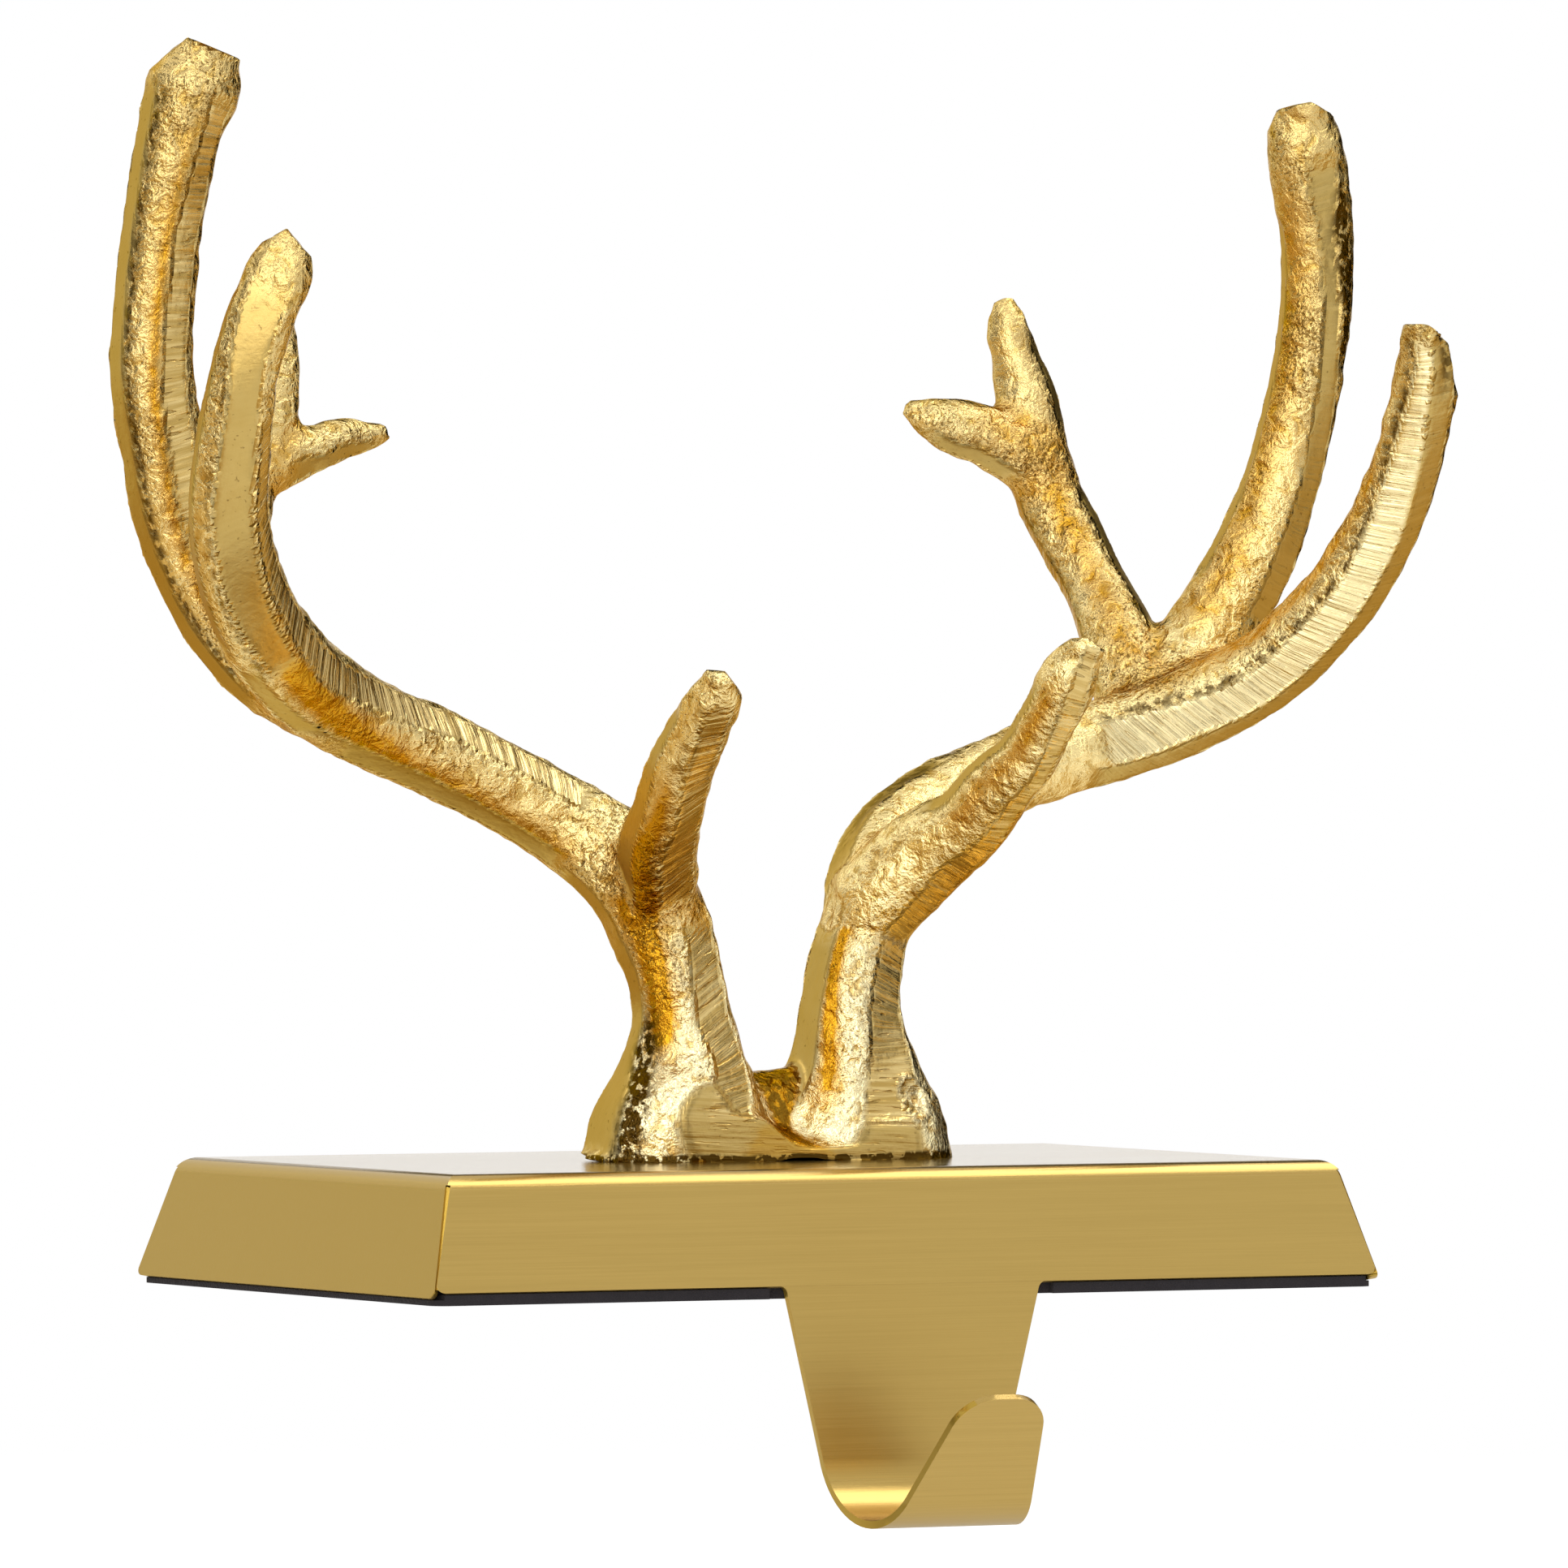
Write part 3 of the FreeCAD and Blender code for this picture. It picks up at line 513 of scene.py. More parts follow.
def joined_casting():
    """All rods and the saddle as one skin on an even grid."""
    verts = []
    faces = []
    for tine in tines:
        rod_mesh(tine, verts, faces)
    saddle_mesh(verts, faces)
    rods = from_points("rods", [tuple(v) for v in verts], faces)
    skin = rods.modifiers.new("skin", "REMESH")
    skin.mode = "VOXEL"
    skin.voxel_size = voxel * MM
    joined = evaluated_mesh(rods)
    bpy.data.objects.remove(rods)
    return joined


def nearest_tine(points):
    """For every point: its tine's number, its ring and its angle there, and how far it is outside that
    tine and outside the second nearest."""
    block = 20000
    best, second = np.full((2, len(points)), 1e9)
    which, ring = np.zeros((2, len(points)), int)
    turn = np.zeros(len(points))
    for number, tine in enumerate(tines):
        for start in range(0, len(points), block):
            part = points[start:start + block]
            rows = slice(start, start + len(part))
            gaps = np.linalg.norm(part[:, None, :] - tine["line"][None, :, :], axis=2)
            k = gaps.argmin(axis=1)
            offset = part - tine["line"][k]
            angle = np.arctan2((offset * tine["across"][k]).sum(1), (offset * tine["ahead"][k]).sum(1))
            excess = gaps[np.arange(len(part)), k] - ring_radius(tine, k, angle)[0]
            closer = excess < best[rows]
            second[rows] = np.where(closer, best[rows], np.minimum(second[rows], excess))
            best[rows] = np.where(closer, excess, best[rows])
            which[rows] = np.where(closer, number, which[rows])
            ring[rows] = np.where(closer, k, ring[rows])
            turn[rows] = np.where(closer, angle, turn[rows])
    return which, ring, turn, best, second


def edge_pairs(mesh):
    pairs = np.zeros(len(mesh.edges) * 2, np.int32)
    mesh.edges.foreach_get("vertices", pairs)
    return pairs.reshape(-1, 2)


def relaxed(points, pairs, weight, rounds):
    """Points drawn towards the mean of their neighbours, by weight."""
    pull = 0.6
    count = len(points)
    degree = np.bincount(pairs.ravel(), minlength=count)[:, None]
    for _ in range(rounds):
        total = np.zeros_like(points)
        for axis in range(3):
            total[:, axis] = (np.bincount(pairs[:, 0], points[pairs[:, 1], axis], count)
                              + np.bincount(pairs[:, 1], points[pairs[:, 0], axis], count))
        points = points + weight[:, None] * (total / degree - points) * pull
    return points


def border_of(inside, pairs):
    """1 along the border of the points that are inside, falling to 0 within two points of it."""
    level = inside.astype(float)[:, None].repeat(3, 1)
    return 1 - np.abs(2 * relaxed(level, pairs, np.ones(len(inside)), 2)[:, 0] - 1)


def noise_at(points, size, seed):
    """Soft noise of this size; each seed reads another part of it."""
    offset = Vector((seed * 17.3, seed * 9.1, seed * 5.7))
    return np.array([noise.noise(Vector(p) / size + offset) for p in points])


def vertex_rows(mesh, name):
    """A row of three numbers per vertex: its place or its normal."""
    rows = np.zeros(len(mesh.vertices) * 3, np.float32)
    mesh.vertices.foreach_get(name, rows)
    return rows.reshape(-1, 3).astype(float)


def set_points(mesh, points):
    mesh.vertices.foreach_set("co", (points * MM).astype(np.float32).ravel())
    mesh.update()


def put_attribute(mesh, name, values, kind="FLOAT"):
    layer = mesh.attributes.new(name, kind, "POINT")
    key = "value" if kind == "FLOAT" else "vector"
    layer.data.foreach_set(key, np.asarray(values, np.float32).ravel())


def tine_values(points, which, ring, turn):
    """What its tine gives each point: how flat, marked and grooved its skin is, the strength of its painted
    shade, painted highlight and painted amber reflection, and its route, which is its place in the pattern of
    file strokes."""
    flatness, marks, groove, painted_highlight, amber_reflection = np.zeros((5, len(points)))
    route = np.zeros((len(points), 3))
    for number, tine in enumerate(tines):
        own = which == number
        at = ring[own]
        angle = turn[own]
        flatness[own], marks[own], edge_groove, painted_highlight[own] = ring_radius(tine, at, angle)[1:]
        # Strips of painted shade join the painted shade of the grooves
        groove[own] = np.maximum(edge_groove, strip_share(tine, "painted_shade", at, angle))
        # Strips of painted amber reflection
        amber_reflection[own] = strip_share(tine, "warm_reflection", at, angle)
        on_line = ((points[own] - tine["line"][at]) * tine["along"][at]).sum(1)
        length = tine["length"][at] + on_line
        around = angle * tine["radius"][at]
        slant = np.interp(length, *zip(*tine["slant"]))
        route[own, 0] = length * np.cos(slant) - around * np.sin(slant)
        route[own, 1] = length * np.sin(slant) + around * np.cos(slant)
        route[own, 2] = number * stroke_row
    return flatness, marks, groove, painted_highlight, amber_reflection, route


def worn_tips(points, which):
    """Cuts each worn tip by its facets, and gives how smooth the points are there."""
    smooth = np.zeros(len(points))
    for number, tine in enumerate(tines):
        if tine["name"] not in worn:
            continue
        (x, y, z), facets = worn[tine["name"]]
        tip = np.array((x, y, cover_top + z))
        for right, up, reach, finish in facets:
            normal = right_side_of_view * right + upwards * up
            normal = normal / np.linalg.norm(normal)
            over = (points - tip) @ normal - reach
            near = np.linalg.norm(points - tip, axis=1) < tip_reach
            cut = near & (over > 0) & (which == number)
            points[cut] -= normal[None, :] * over[cut][:, None]
            smooth[cut] = finish
    return smooth


def foot_flaws(points, height):
    """Cuts the dimple and the gap into the foot, and gives how strong the dimple is at each point."""
    offset = points - np.array(dimple_place)
    long_way = offset @ dimple_along
    wide_way = offset @ np.cross(dimple_along, front_side)
    spread = np.sqrt((long_way / dimple_size[0]) ** 2 + (wide_way / dimple_size[1]) ** 2)
    near = (offset @ front_side) > -dimple_reach
    bowl = np.where(near, 1 - smooth_step(spread, dimple_floor, 1.0), 0.0)
    rim = np.where(near, np.exp(-((spread - rim_place) / rim_width) ** 2), 0.0)
    points -= front_side[None, :] * (bowl * dimple_depth - rim * rim_height)[:, None]
    under = np.exp(-((points[:, 0] - notch_middle) / notch_half) ** 4)
    under = under * (points[:, 1] < foot_front + notch_depth)
    points[:, 2] += under * notch_height * (1 - smooth_step(height, 0.0, notch_fade))
    return np.maximum(bowl, rim)


def antlers_casting():
    mesh = joined_casting()
    mesh.name = "antlers_casting"
    points = vertex_rows(mesh, "co") / MM
    count = len(points)
    pairs = edge_pairs(mesh)
    which, ring, turn, best, second = nearest_tine(points)
    flatness, marks, groove, painted_highlight, amber_reflection, route = tine_values(points, which, ring, turn)

    # Flats run out in the creases, where the skin is then smoothed
    crease = 1 - smooth_step(second - best, crease_start, blend_reach)
    crease = np.maximum(crease, smooth_step(best, web_start, web_full))
    tall = points[:, 2] - cover_top
    on_beam = (points[:, 0] > 0) & (tall > beam_low) & (tall < beam_high)
    kept = 1 - crease * np.where(on_beam, beam_loss, np.where(painted_highlight > highlight_from, highlight_loss, 1.0))
    for values in (flatness, marks, groove, painted_highlight):
        values *= kept
    points = relaxed(points, pairs, crease, blend_rounds)
    points = relaxed(points, pairs, np.full(count, evening), 1)
    tip_smooth = worn_tips(points, which)
    on_facet = smooth_step(tip_smooth, 0.0, 0.05)
    points = relaxed(points, pairs, on_facet * facet_smoothing + tip_smoothing, 1)
    set_points(mesh, points)
    normals = vertex_rows(mesh, "normal")

    # The ground face of the foot has strokes of its own, which stop short of its border
    height = points[:, 2] - cover_top
    ground = smooth_step(foot_front + ground_reach - points[:, 1], 0.0, ground_edge)
    ground = ground * (1 - smooth_step(height, foot_fade, foot_top))
    flatness = np.maximum(flatness, np.maximum(ground, tip_smooth))
    level = ground > 0.5
    clear = 1 - np.minimum(border_of(level, pairs) * border_width, 1.0)
    marks = np.maximum(marks * clear, ground * ground_marks * clear)
    route[level, 0] = height[level] + points[level, 0] * ground_lean
    route[level, 1] = points[level, 0]
    route[level, 2] = ground_row

    # Cast skin between the flats, grooves beside them, and the flaws of the foot
    lumps = noise_at(points, lump_size, 1)
    grain = noise_at(points, grain_size, 2)
    push = (1 - flatness) * (lumps * lump_height + grain * grain_height) - groove * groove_depth
    push += flatness * noise_at(points, ripple_size, 4) * ripple_height
    points = points + normals * push[:, None]
    points[:, 1] = np.where(height < foot_top, np.maximum(points[:, 1], foot_front), points[:, 1])
    points[:, 2] = np.maximum(points[:, 2], cover_top)
    flaw = foot_flaws(points, height)
    set_points(mesh, points)

    # What the finish reads. The groove value carries all painted shade
    contact = 1 - smooth_step(height, *contact_heights)
    facing = 1 - smooth_step(points[:, 1], *front_half)
    valley = crease * (1 - smooth_step(height, *valley_heights)) * (1 - ground) * facing
    # Painted shade: grooves and shade strips, the dimple, a contact shadow at the foot and the foot's valleys
    painted_shade = [groove, flaw * flaw_shade, contact * contact_shadow, valley * valley_shade]
    # Painted amber reflection in the creases, stronger on the foot's front half
    foot_tone = foot_amber_reflection + foot_amber_reflection_front * facing
    tone = np.where(on_beam, beam_amber_reflection, np.where(tall < beam_low, foot_tone, crease_amber_reflection))
    put_attribute(mesh, "flat", flatness * (1 - flaw))
    put_attribute(mesh, "marks", marks)
    put_attribute(mesh, "groove", np.maximum.reduce(painted_shade))
    put_attribute(mesh, "painted_highlight", painted_highlight)
    put_attribute(mesh, "amber_reflection", np.maximum(amber_reflection * (1 - flat_cover * flatness), crease * tone))
    put_attribute(mesh, "route", route, "FLOAT_VECTOR")
    for polygon in mesh.polygons:
        polygon.use_smooth = True
    return placed("antlers_casting", mesh)


class Nodes:
    """Short way to add and join the nodes of a material or world."""

    def __init__(self, owner):
        self.owner = owner
        owner.use_nodes = True
        self.tree = owner.node_tree

    def add(self, kind, **settings):
        node = self.tree.nodes.new(kind)
        for key, value in settings.items():
            setattr(node, key, value)
        return node

    def put(self, socket, value):
        if isinstance(value, bpy.types.NodeSocket):
            self.tree.links.new(value, socket)
        else:
            socket.default_value = value

    def math(self, operation, first, second, clamp=False):
        node = self.add("ShaderNodeMath", operation=operation, use_clamp=clamp)
        self.put(node.inputs[0], first)
        self.put(node.inputs[1], second)
        return node.outputs[0]

    def plus(self, first, second):
        return self.math("ADD", first, second)

    def minus(self, first, second):
        return self.math("SUBTRACT", first, second)

    def times(self, first, second, clamp=False):
        return self.math("MULTIPLY", first, second, clamp)

    def ramp(self, value, low, high, start=0.0, end=1.0):
        """From start to end as the value goes from low to high, softly at both ends."""
        node = self.add("ShaderNodeMapRange", interpolation_type="SMOOTHSTEP")
        for socket, entry in zip(node.inputs[:5], (value, low, high, start, end)):
            self.put(socket, entry)
        return node.outputs[0]

    def attribute(self, name, output="Fac"):
        return self.add("ShaderNodeAttribute", attribute_name=name).outputs[output]

    def made(self, kind, output, **inputs):
        """One output of a new node with these inputs."""
        node = self.add(kind)
        for name, value in inputs.items():
            self.put(node.inputs[name], value)
        return node.outputs[output]

    def place(self):
        return self.made("ShaderNodeTexCoord", "Object")

    def height(self, place):
        return self.made("ShaderNodeSeparateXYZ", "Z", Vector=place)

    def scaled(self, vector, scale):
        return self.made("ShaderNodeMapping", "Vector", Vector=vector, Scale=scale)

    def noise(self, vector, scale, detail=2.0, rough=0.5, twist=0.0):
        return self.made("ShaderNodeTexNoise", "Fac", Vector=vector, Scale=scale, Detail=detail,
                         Roughness=rough, Distortion=twist)

    def strokes(self, route, size, detail, rough):
        """Noise drawn out across the tine; the size is in cells per millimetre."""
        return self.noise(self.scaled(route, size), 1.0, detail, rough)

    def cells(self, vector, scale):
        return self.made("ShaderNodeTexVoronoi", "Distance", Vector=vector, Scale=scale)

    def blend(self, share, first, second):
        node = self.add("ShaderNodeMix", data_type="RGBA", blend_type="MIX")
        self.put(node.inputs[0], share)
        self.put(node.inputs[6], first)
        self.put(node.inputs[7], second)
        return node.outputs[2]

    def bump(self, height, distance, **under):
        """Relief of this depth in metres; Normal is the relief under it, if there is one."""
        return self.made("ShaderNodeBump", "Normal", Height=height, Distance=distance, **under)

    def seen_rays(self):
        """1 for what the camera, a reflection or a clear piece shows, and 0 for light that falls."""
        light = self.add("ShaderNodeLightPath")
        seen = self.math("MAXIMUM", light.outputs["Is Camera Ray"], light.outputs["Is Glossy Ray"])
        return self.math("MAXIMUM", seen, light.outputs["Is Transmission Ray"])

    def finish(self, **values):
        """Sets the material's values and gives the material."""
        shader = self.tree.nodes["Principled BSDF"]
        for key, value in values.items():
            self.put(shader.inputs[key.replace("_", " ")], value)
        return self.owner


def new_finish(name):
    return Nodes(bpy.data.materials.new(name))


# Colours of the casting: cast skin
cast_gold = ((0.84, 0.64, 0.26, 1), (0.94, 0.77, 0.38, 1))
low_gold = (0.98, 0.89, 0.58, 1)    # near the base
high_gold = (0.60, 0.40, 0.12, 1)   # towards the tips
fold_shade_gold = (0.50, 0.30, 0.055, 1)  # painted shade in the folds of the relief
# painted amber reflection
amber_reflection_gold = (0.60, 0.30, 0.016, 1)
# painted shade in the pits of the grain
pit_shade_brown = (0.16, 0.085, 0.012, 1)
edge_gold = (0.80, 0.62, 0.34, 1)   # seen at a low angle

# Colours of the casting: flats
filed_gold = ((0.48, 0.32, 0.095, 1), (0.78, 0.59, 0.25, 1))
coarse_gold = (0.50, 0.33, 0.085, 1)
plain_gold = ((0.47, 0.320, 0.090, 1), (0.54, 0.385, 0.125, 1))
# painted shade in file grooves and pits
groove_shade_brown = (0.17, 0.10, 0.025, 1)
# painted amber reflection on flats
amber_reflection_flat = (0.52, 0.28, 0.025, 1)
# painted highlight on flats
highlight_flat = (0.94, 0.80, 0.44, 1)
# painted shade
shade_brown = (0.075, 0.040, 0.006, 1)

# Reliefs of the casting, in metres
fold_relief = 0.00080
grain_relief = 0.00013
stroke_relief = 0.00016
coarse_relief = 0.00035
flat_relief = 0.00006


def gold_casting():
    n = new_finish("gold_casting")
    place = n.place()
    height = n.height(place)
    route = n.attribute("route", "Vector")
    flatness = n.attribute("flat")
    marks = n.attribute("marks")
    rough = n.minus(1.0, flatness)

    # Patterns, in cells per metre or, along the route, per millimetre
    crumple = n.noise(place, 620, 3.0, 0.55, 0.6)
    grain = n.noise(place, 2600, 3.0, 0.65)
    wide = n.noise(place, 110)
    patches = n.noise(place, 75)
    strokes = n.strokes(route, (2.4, 0.10, 1.0), 2.0, 0.55)
    coarse = n.strokes(route, (0.75, 0.06, 1.0), 1.0, 0.4)
    deep = n.ramp(n.strokes(route, (2.0, 0.24, 1.0), 1.0, 0.4), 0.62, 0.68)
    net = n.plus(grain, n.times(n.minus(patches, 0.5), -0.55))
    # Painted shade in the low pits of the grain on the cast skin
    pit_shade = n.times(n.ramp(net, 0.41, 0.33), rough)
    pits = n.times(n.ramp(n.noise(place, 1500), 0.34, 0.26), flatness)
    # Painted amber reflection, strongest in the folds of the relief
    amber_reflection = n.times(n.attribute("amber_reflection"), n.ramp(crumple, 0.25, 0.75, 1.8, 1.25), clamp=True)

    # Cast skin: lighter near the base, darker towards the tips
    gold = n.blend(wide, *cast_gold)
    gold = n.blend(n.ramp(height, 0.055, 0.030, 0.0, 0.55), gold, low_gold)
    gold = n.blend(n.ramp(height, 0.080, 0.125, 0.0, 0.60), gold, high_gold)
    # Painted shade in the low folds of the crumpled relief
    gold = n.blend(n.times(n.ramp(crumple, 0.50, 0.33), 0.75), gold, fold_shade_gold)
    gold = n.blend(amber_reflection, gold, amber_reflection_gold)
    gold = n.blend(n.times(pit_shade, 0.8), gold, pit_shade_brown)

    # Flats: filed ones show their strokes, with painted shade in the deep ones, and plain ones a few pits of
    # painted shade
    filed = n.blend(n.ramp(strokes, 0.3, 0.7), *filed_gold)
    filed = n.blend(n.ramp(coarse, 0.40, 0.60, 0.0, 0.45), filed, coarse_gold)
    filed = n.blend(n.times(deep, 0.45), filed, groove_shade_brown)
    plain = n.blend(n.noise(place, 300), *plain_gold)
    plain = n.blend(n.times(pits, 0.7), plain, groove_shade_brown)
    dull = n.blend(marks, plain, filed)
    # Painted amber reflection on the flats too
    dull = n.blend(n.times(amber_reflection, 0.6), dull, amber_reflection_flat)
    # Painted highlight on the flats that face the light
    painted_highlight = n.times(n.attribute("painted_highlight"), n.ramp(strokes, 0.3, 0.6, 0.5, 1.0))
    dull = n.blend(painted_highlight, dull, highlight_flat)

    # Painted shade lies unevenly over both
    colour = n.blend(flatness, gold, dull)
    painted_shade = n.times(n.attribute("groove"), n.ramp(n.noise(place, 900, 3.0), 0.46, 0.60, 1.0, 0.05))
    colour = n.blend(n.times(painted_shade, 0.95, clamp=True), colour, shade_brown)

    # The cast skin shines and the flats are satin
    cast_shine = n.ramp(n.noise(place, 600), 0.3, 0.7, 0.07, 0.15)
    flat_shine = n.blend(marks, (0.33, 0.33, 0.33, 1), (0.22, 0.22, 0.22, 1))
    shine = n.plus(n.times(cast_shine, rough), n.times(flatness, flat_shine))

    # Relief: folds and grain on the cast skin, strokes on the flats
    folds = n.times(n.times(crumple, rough), n.ramp(patches, 0.3, 0.6, 0.45, 1.1))
    relief = n.bump(folds, fold_relief)
    relief = n.bump(n.times(grain, rough), grain_relief, Normal=relief)
    filing = n.minus(n.minus(strokes, 0.5), n.times(deep, 0.5))
    relief = n.bump(n.times(filing, marks), stroke_relief, Normal=relief)
    relief = n.bump(n.times(n.minus(coarse, 0.5), marks), coarse_relief, Normal=relief)
    relief = n.bump(n.times(n.noise(place, 900, 3.0), flatness), flat_relief, Normal=relief)
    return n.finish(Base_Color=colour, Metallic=1.0, Roughness=shine, Normal=relief, Specular_Tint=edge_gold)


def corner_tab(shape, side, way):
    """A narrow tab behind the open seam of one corner."""
    rings = []
    for drop in (seam_start, seam_end):
        corner_x = corner_half[0] + seam_slope * drop
        corner_y = corner_half[1] + seam_slope * drop
        ring = []
        for inward, across in ((tab_near, -tab_half), (tab_near, tab_half),
                               (tab_far, tab_half), (tab_far, -tab_half)):
            x = side * (corner_x - inward - across)
            y = way * (corner_y - inward + across)
            ring.append(shape.verts.new(Vector((x, y, cover_top - drop)) * MM))
        rings.append(ring)
    top, bottom = rings
    faces = [shape.faces.new(top), shape.faces.new(list(reversed(bottom)))]
    for k in range(4):
        n = (k + 1) % 4
        faces.append(shape.faces.new((top[n], top[k], bottom[k], bottom[n])))
    bmesh.ops.recalc_face_normals(shape, faces=faces)


def cover_skin():
    """The folded cover with its cut edges just broken, and marks for the way that it is brushed."""
    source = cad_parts["base_cover"]
    shape = bmesh.new()
    shape.from_mesh(source.data)
    shape.transform(source.matrix_world)
    bmesh.ops.remove_doubles(shape, verts=shape.verts, dist=1e-6)
    for side in (-1, 1):
        for way in (-1, 1):
            corner_tab(shape, side, way)
    mesh = bpy.data.meshes.new("cover_skin")
    shape.to_mesh(mesh)
    shape.free()
    for polygon in mesh.polygons:
        polygon.use_smooth = True
    piece = placed("cover_skin", mesh)
    edge = piece.modifiers.new("broken_edge", "BEVEL")
    edge.width = edge_break * MM
    edge.segments = 3
    edge.limit_method = "ANGLE"
    edge.angle_limit = math.radians(edge_angle)
    weighted = piece.modifiers.new("weighted", "WEIGHTED_NORMAL")
    weighted.keep_sharp = True
    piece.data = evaluated_mesh(piece)
    piece.modifiers.clear()
    facing = np.zeros(len(piece.data.polygons) * 3, np.float32)
    piece.data.polygons.foreach_get("normal", facing)
    sideways = np.abs(facing[0::3])
    upward = facing[2::3]
    marks = {
        "side": sideways > side_share,
        "top": upward > level_share,
        "bend": (upward > bend_share) & (upward < level_share),
    }
    for name, values in marks.items():
        layer = piece.data.attributes.new(name, "FLOAT", "FACE")
        layer.data.foreach_set("value", values.astype(np.float32))
    return piece


def brushed_sheet():
    """Sheet brushed along X, and from front to back on its side flaps."""
    n = new_finish("brushed_sheet")
    place = n.place()
    side = n.attribute("side")
    lengthwise = n.noise(n.scaled(place, (60, 6500, 6500)), 1.0, 3.0, 0.6)
    endwise = n.noise(n.scaled(place, (900, 6500, 900)), 1.0, 3.0, 0.6)
    brush = n.plus(n.times(lengthwise, n.minus(1.0, side)), n.times(endwise, side))
    streaks = n.noise(n.scaled(place, (14, 1700, 1700)), 1.0)
    tone = n.plus(n.times(brush, 0.6), n.times(streaks, 0.4))
    colour = n.blend(n.ramp(tone, 0.3, 0.7), (0.460, 0.308, 0.080, 1), (0.505, 0.340, 0.092, 1))
    cloud = n.ramp(n.noise(place, 28), 0.35, 0.65, 0.0, 0.25)
    colour = n.blend(cloud, colour, (0.50, 0.352, 0.100, 1))
    # The side flaps are painted a deeper gold than the rest of the same sheet, a painted reflection tone
    colour = n.blend(side, colour, n.blend(0.8, colour, (0.469, 0.298, 0.030, 1)))
    shine = n.ramp(tone, 0.2, 0.8, 0.32, 0.40)
    shine = n.minus(shine, n.times(n.attribute("top"), 0.25))
    shine = n.minus(shine, n.times(n.attribute("bend"), 0.16))
    return n.finish(Base_Color=colour, Metallic=0.75, Roughness=shine, Normal=n.bump(brush, 0.000010))


def plain_finish(name, size, dark, light, pattern, depth, *settings, **values):
    """Two tones in patches, and a fine relief of one of the patterns of Nodes with its settings."""
    n = new_finish(name)
    place = n.place()
    relief = n.bump(pattern(n, place, *settings), depth)
    return n.finish(Base_Color=n.blend(n.noise(place, size), dark, light), Normal=relief, **values)


def give(piece, material):
    piece.data.materials.clear()
    piece.data.materials.append(material)


casting = antlers_casting()
give(casting, gold_casting())
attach(casting, "root")
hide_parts("antlers")
cover = cover_skin()
give(cover, brushed_sheet())
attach(cover, "root")
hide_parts("base_cover")
black_foam = plain_finish("black_foam", 700, (0.010, 0.008, 0.010, 1), (0.024, 0.019, 0.022, 1),
                          Nodes.cells, 0.00012, 2600, Roughness=0.92)
iron_paint = plain_finish("iron_paint", 300, (0.02, 0.02, 0.021, 1), (0.035, 0.034, 0.034, 1),
                          Nodes.noise, 0.0001, 1500, 3.0, Roughness=0.6)
zinc = plain_finish("zinc_screw", 900, (0.50, 0.50, 0.52, 1), (0.62, 0.62, 0.62, 1),
                    Nodes.noise, 0.00002, 2500, Metallic=1.0, Roughness=0.32)
give(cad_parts["foot_pad"], black_foam)
give(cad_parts["weight_plate"], iron_paint)
give(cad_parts["antler_screw_left"], zinc)
give(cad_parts["antler_screw_right"], zinc)


# Studio, in metres: a white floor under the hook, a white surround, soft boxes and reflected cards

white = (1, 1, 1, 1)
floor_reach = 3.0
floor_drop = 0.018        # under the hook's lowest point
floor_fade = (0.22, 0.5)  # distance from the middle over which the floor passes into the surround
floor_grey = (0.85, 0.85, 0.85, 1)
floor_glow = 0.55
surround_fill = 0.45      # light that the surround gives, against 1 as it is seen
box_aim = (0, 0, 0.06)

# Soft boxes: name, place, width and height, and radiance
soft_boxes = [
    ("front_box", (-1.35, -1.45, 0.50), (1.9, 2.3), 1.65),
    ("top_box", (0.97, -0.36, 1.71), (2.0, 0.5), 3.4),
    ("back_box", (-0.9, 1.5, 1.3), (0.7, 0.5), 1.8),
]

# Upright dark cards: angle from +X and half width in degrees, bottom and top
card_distance = 1.6
dark_cards = [
    (-26, 3, -0.9, 0.7), (-12, 4, -0.9, 0.7), (22, 24, -0.9, 0.8), (154, 15, -0.9, 1.0), (188, 5, -0.6, 1.4),
    (-84, 4, -0.9, 1.3), (60, 15, 0.42, 1.05),
]
card_black = (0.02, 0.018, 0.015, 1)

# Gold card: a ring on the floor, open towards the front
gold_card_radii = (0.14, 1.1)
gold_card_drop = 0.012
gold_card_step = 15  # degrees of one piece of the ring
gold_card_opening = range(15, 22)
card_gold = (0.98, 0.74, 0.38, 1)

# Camera, fitted to the base's edges and to both antlers in the photo
camera_lens = 375.64
camera_place = (-0.94873524, -1.71552716, 0.08166605)
camera_right = (0.87433984, -0.48530995, 0.00202537)
camera_up = (0.00360025, 0.01065933, 0.99993671)


def white_floor():
    low = cad_box[0].z - floor_drop
    corners = [(x * floor_reach, y * floor_reach, low) for x, y in ((-1, -1), (1, -1), (1, 1), (-1, 1))]
    floor = from_points("floor", corners, [(0, 1, 2, 3)])
    n = new_finish("white_floor")
    distance = n.add("ShaderNodeVectorMath", operation="LENGTH")
    n.put(distance.inputs[0], n.place())
    material = n.finish(Base_Color=floor_grey, Roughness=0.9, Specular_IOR_Level=0.0, Emission_Color=white,
                        Emission_Strength=n.times(n.seen_rays(), floor_glow),
                        Alpha=n.ramp(distance.outputs["Value"], *floor_fade, 1.0, 0.0))
    give(floor, material)


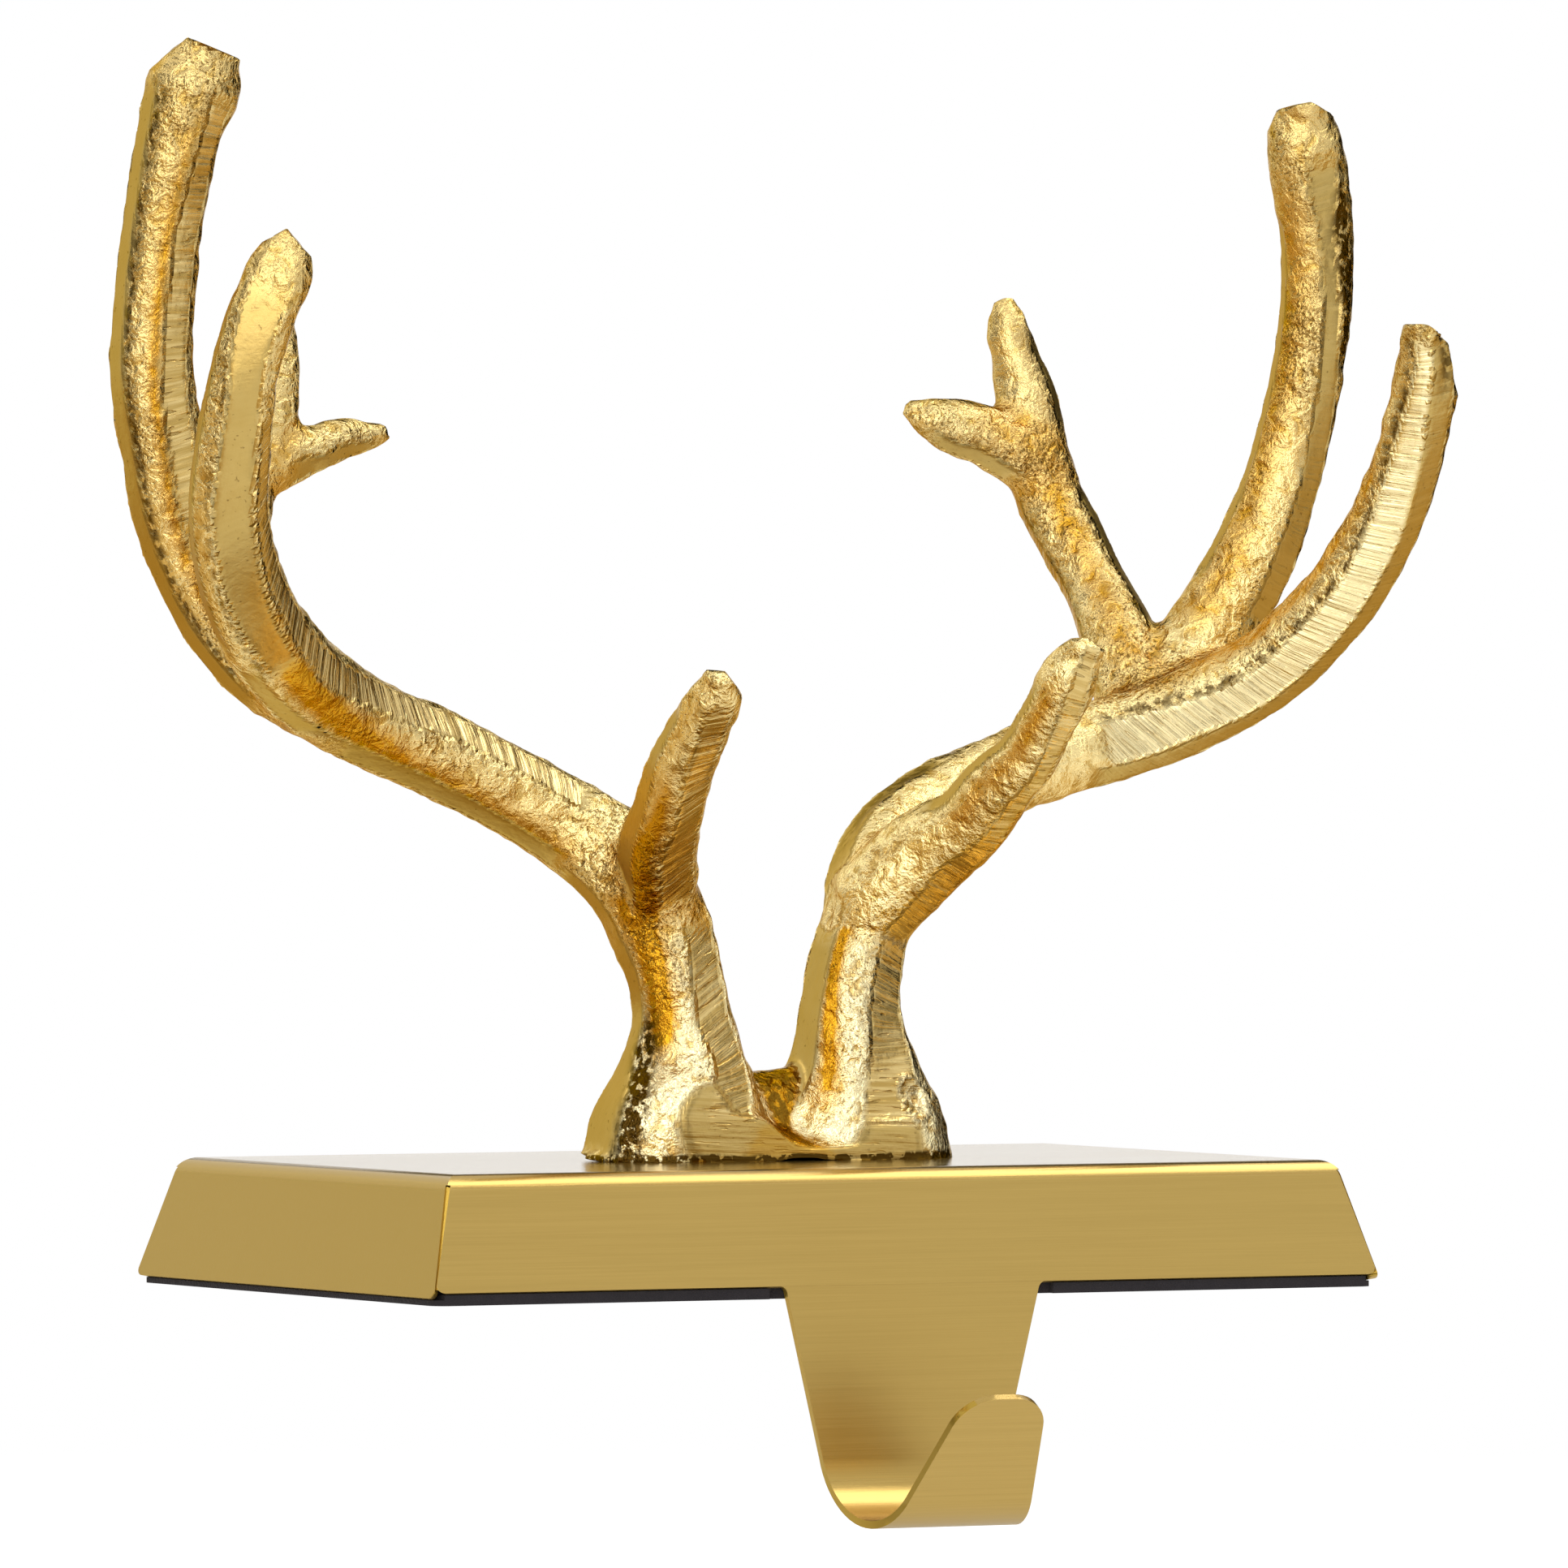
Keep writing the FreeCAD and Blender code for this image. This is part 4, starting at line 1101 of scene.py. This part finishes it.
def white_surround():
    """White where it is seen, and dimmer in the light that it gives."""
    world = bpy.data.worlds.new("surround")
    bpy.context.scene.world = world
    n = Nodes(world)
    n.tree.nodes.clear()
    mix = n.add("ShaderNodeMixShader")
    n.put(mix.inputs[0], n.seen_rays())
    for socket, strength in ((mix.inputs[1], surround_fill), (mix.inputs[2], 1.0)):
        background = n.add("ShaderNodeBackground")
        n.put(background.inputs["Color"], white)
        n.put(background.inputs["Strength"], strength)
        n.put(socket, background.outputs[0])
    out = n.add("ShaderNodeOutputWorld")
    n.put(out.inputs[0], mix.outputs[0])


def soft_box(name, place, size, radiance):
    lamp = bpy.data.lights.new(name, "AREA")
    lamp.shape = "RECTANGLE"
    lamp.size, lamp.size_y = size
    lamp.energy = radiance * math.pi * size[0] * size[1]
    box = placed(name, lamp)
    box.location = place
    aim = Vector(box_aim) - Vector(place)
    box.rotation_euler = aim.to_track_quat("-Z", "Y").to_euler()


def reflected_only(name, verts, faces, colour):
    """A card that only the metal's reflections show."""
    card = from_points(name, verts, faces)
    card.visible_camera = False
    card.visible_diffuse = False
    card.visible_shadow = False
    give(card, new_finish(name).finish(Base_Color=colour, Roughness=1.0, Specular_IOR_Level=0.0))


def studio_cards():
    """Upright dark cards round the object, and a gold ring below it."""
    verts = []
    faces = []
    for middle, half, low, high in dark_cards:
        base = len(verts)
        first = math.radians(middle - half)
        last = math.radians(middle + half)
        for angle, z in ((first, low), (last, low), (last, high), (first, high)):
            verts.append((card_distance * math.cos(angle), card_distance * math.sin(angle), z))
        faces.append((base, base + 1, base + 2, base + 3))
    reflected_only("dark_cards", verts, faces, card_black)
    low = cad_box[0].z - gold_card_drop
    turns = [math.radians(degrees) for degrees in range(0, 360, gold_card_step)]
    verts = [(radius * math.cos(turn), radius * math.sin(turn), low) for radius in gold_card_radii
             for turn in turns]
    count = len(turns)
    faces = [(k, (k + 1) % count, count + (k + 1) % count, count + k) for k in range(count)
             if k not in gold_card_opening]
    reflected_only("gold_card", verts, faces, card_gold)


def photo_camera():
    camera = bpy.data.cameras.new("camera")
    camera.sensor_width = 36.0
    camera.lens = camera_lens
    camera.clip_start = 0.1
    camera.clip_end = 20.0
    view = placed("camera", camera)
    right = Vector(camera_right)
    up = Vector(camera_up)
    turn = Matrix((right, up, right.cross(up))).transposed().to_4x4()
    view.matrix_world = Matrix.Translation(Vector(camera_place)) @ turn
    bpy.context.scene.camera = view


white_floor()
white_surround()
studio_cards()
for settings in soft_boxes:
    soft_box(*settings)
photo_camera()
bpy.context.scene.view_settings.view_transform = "Standard"
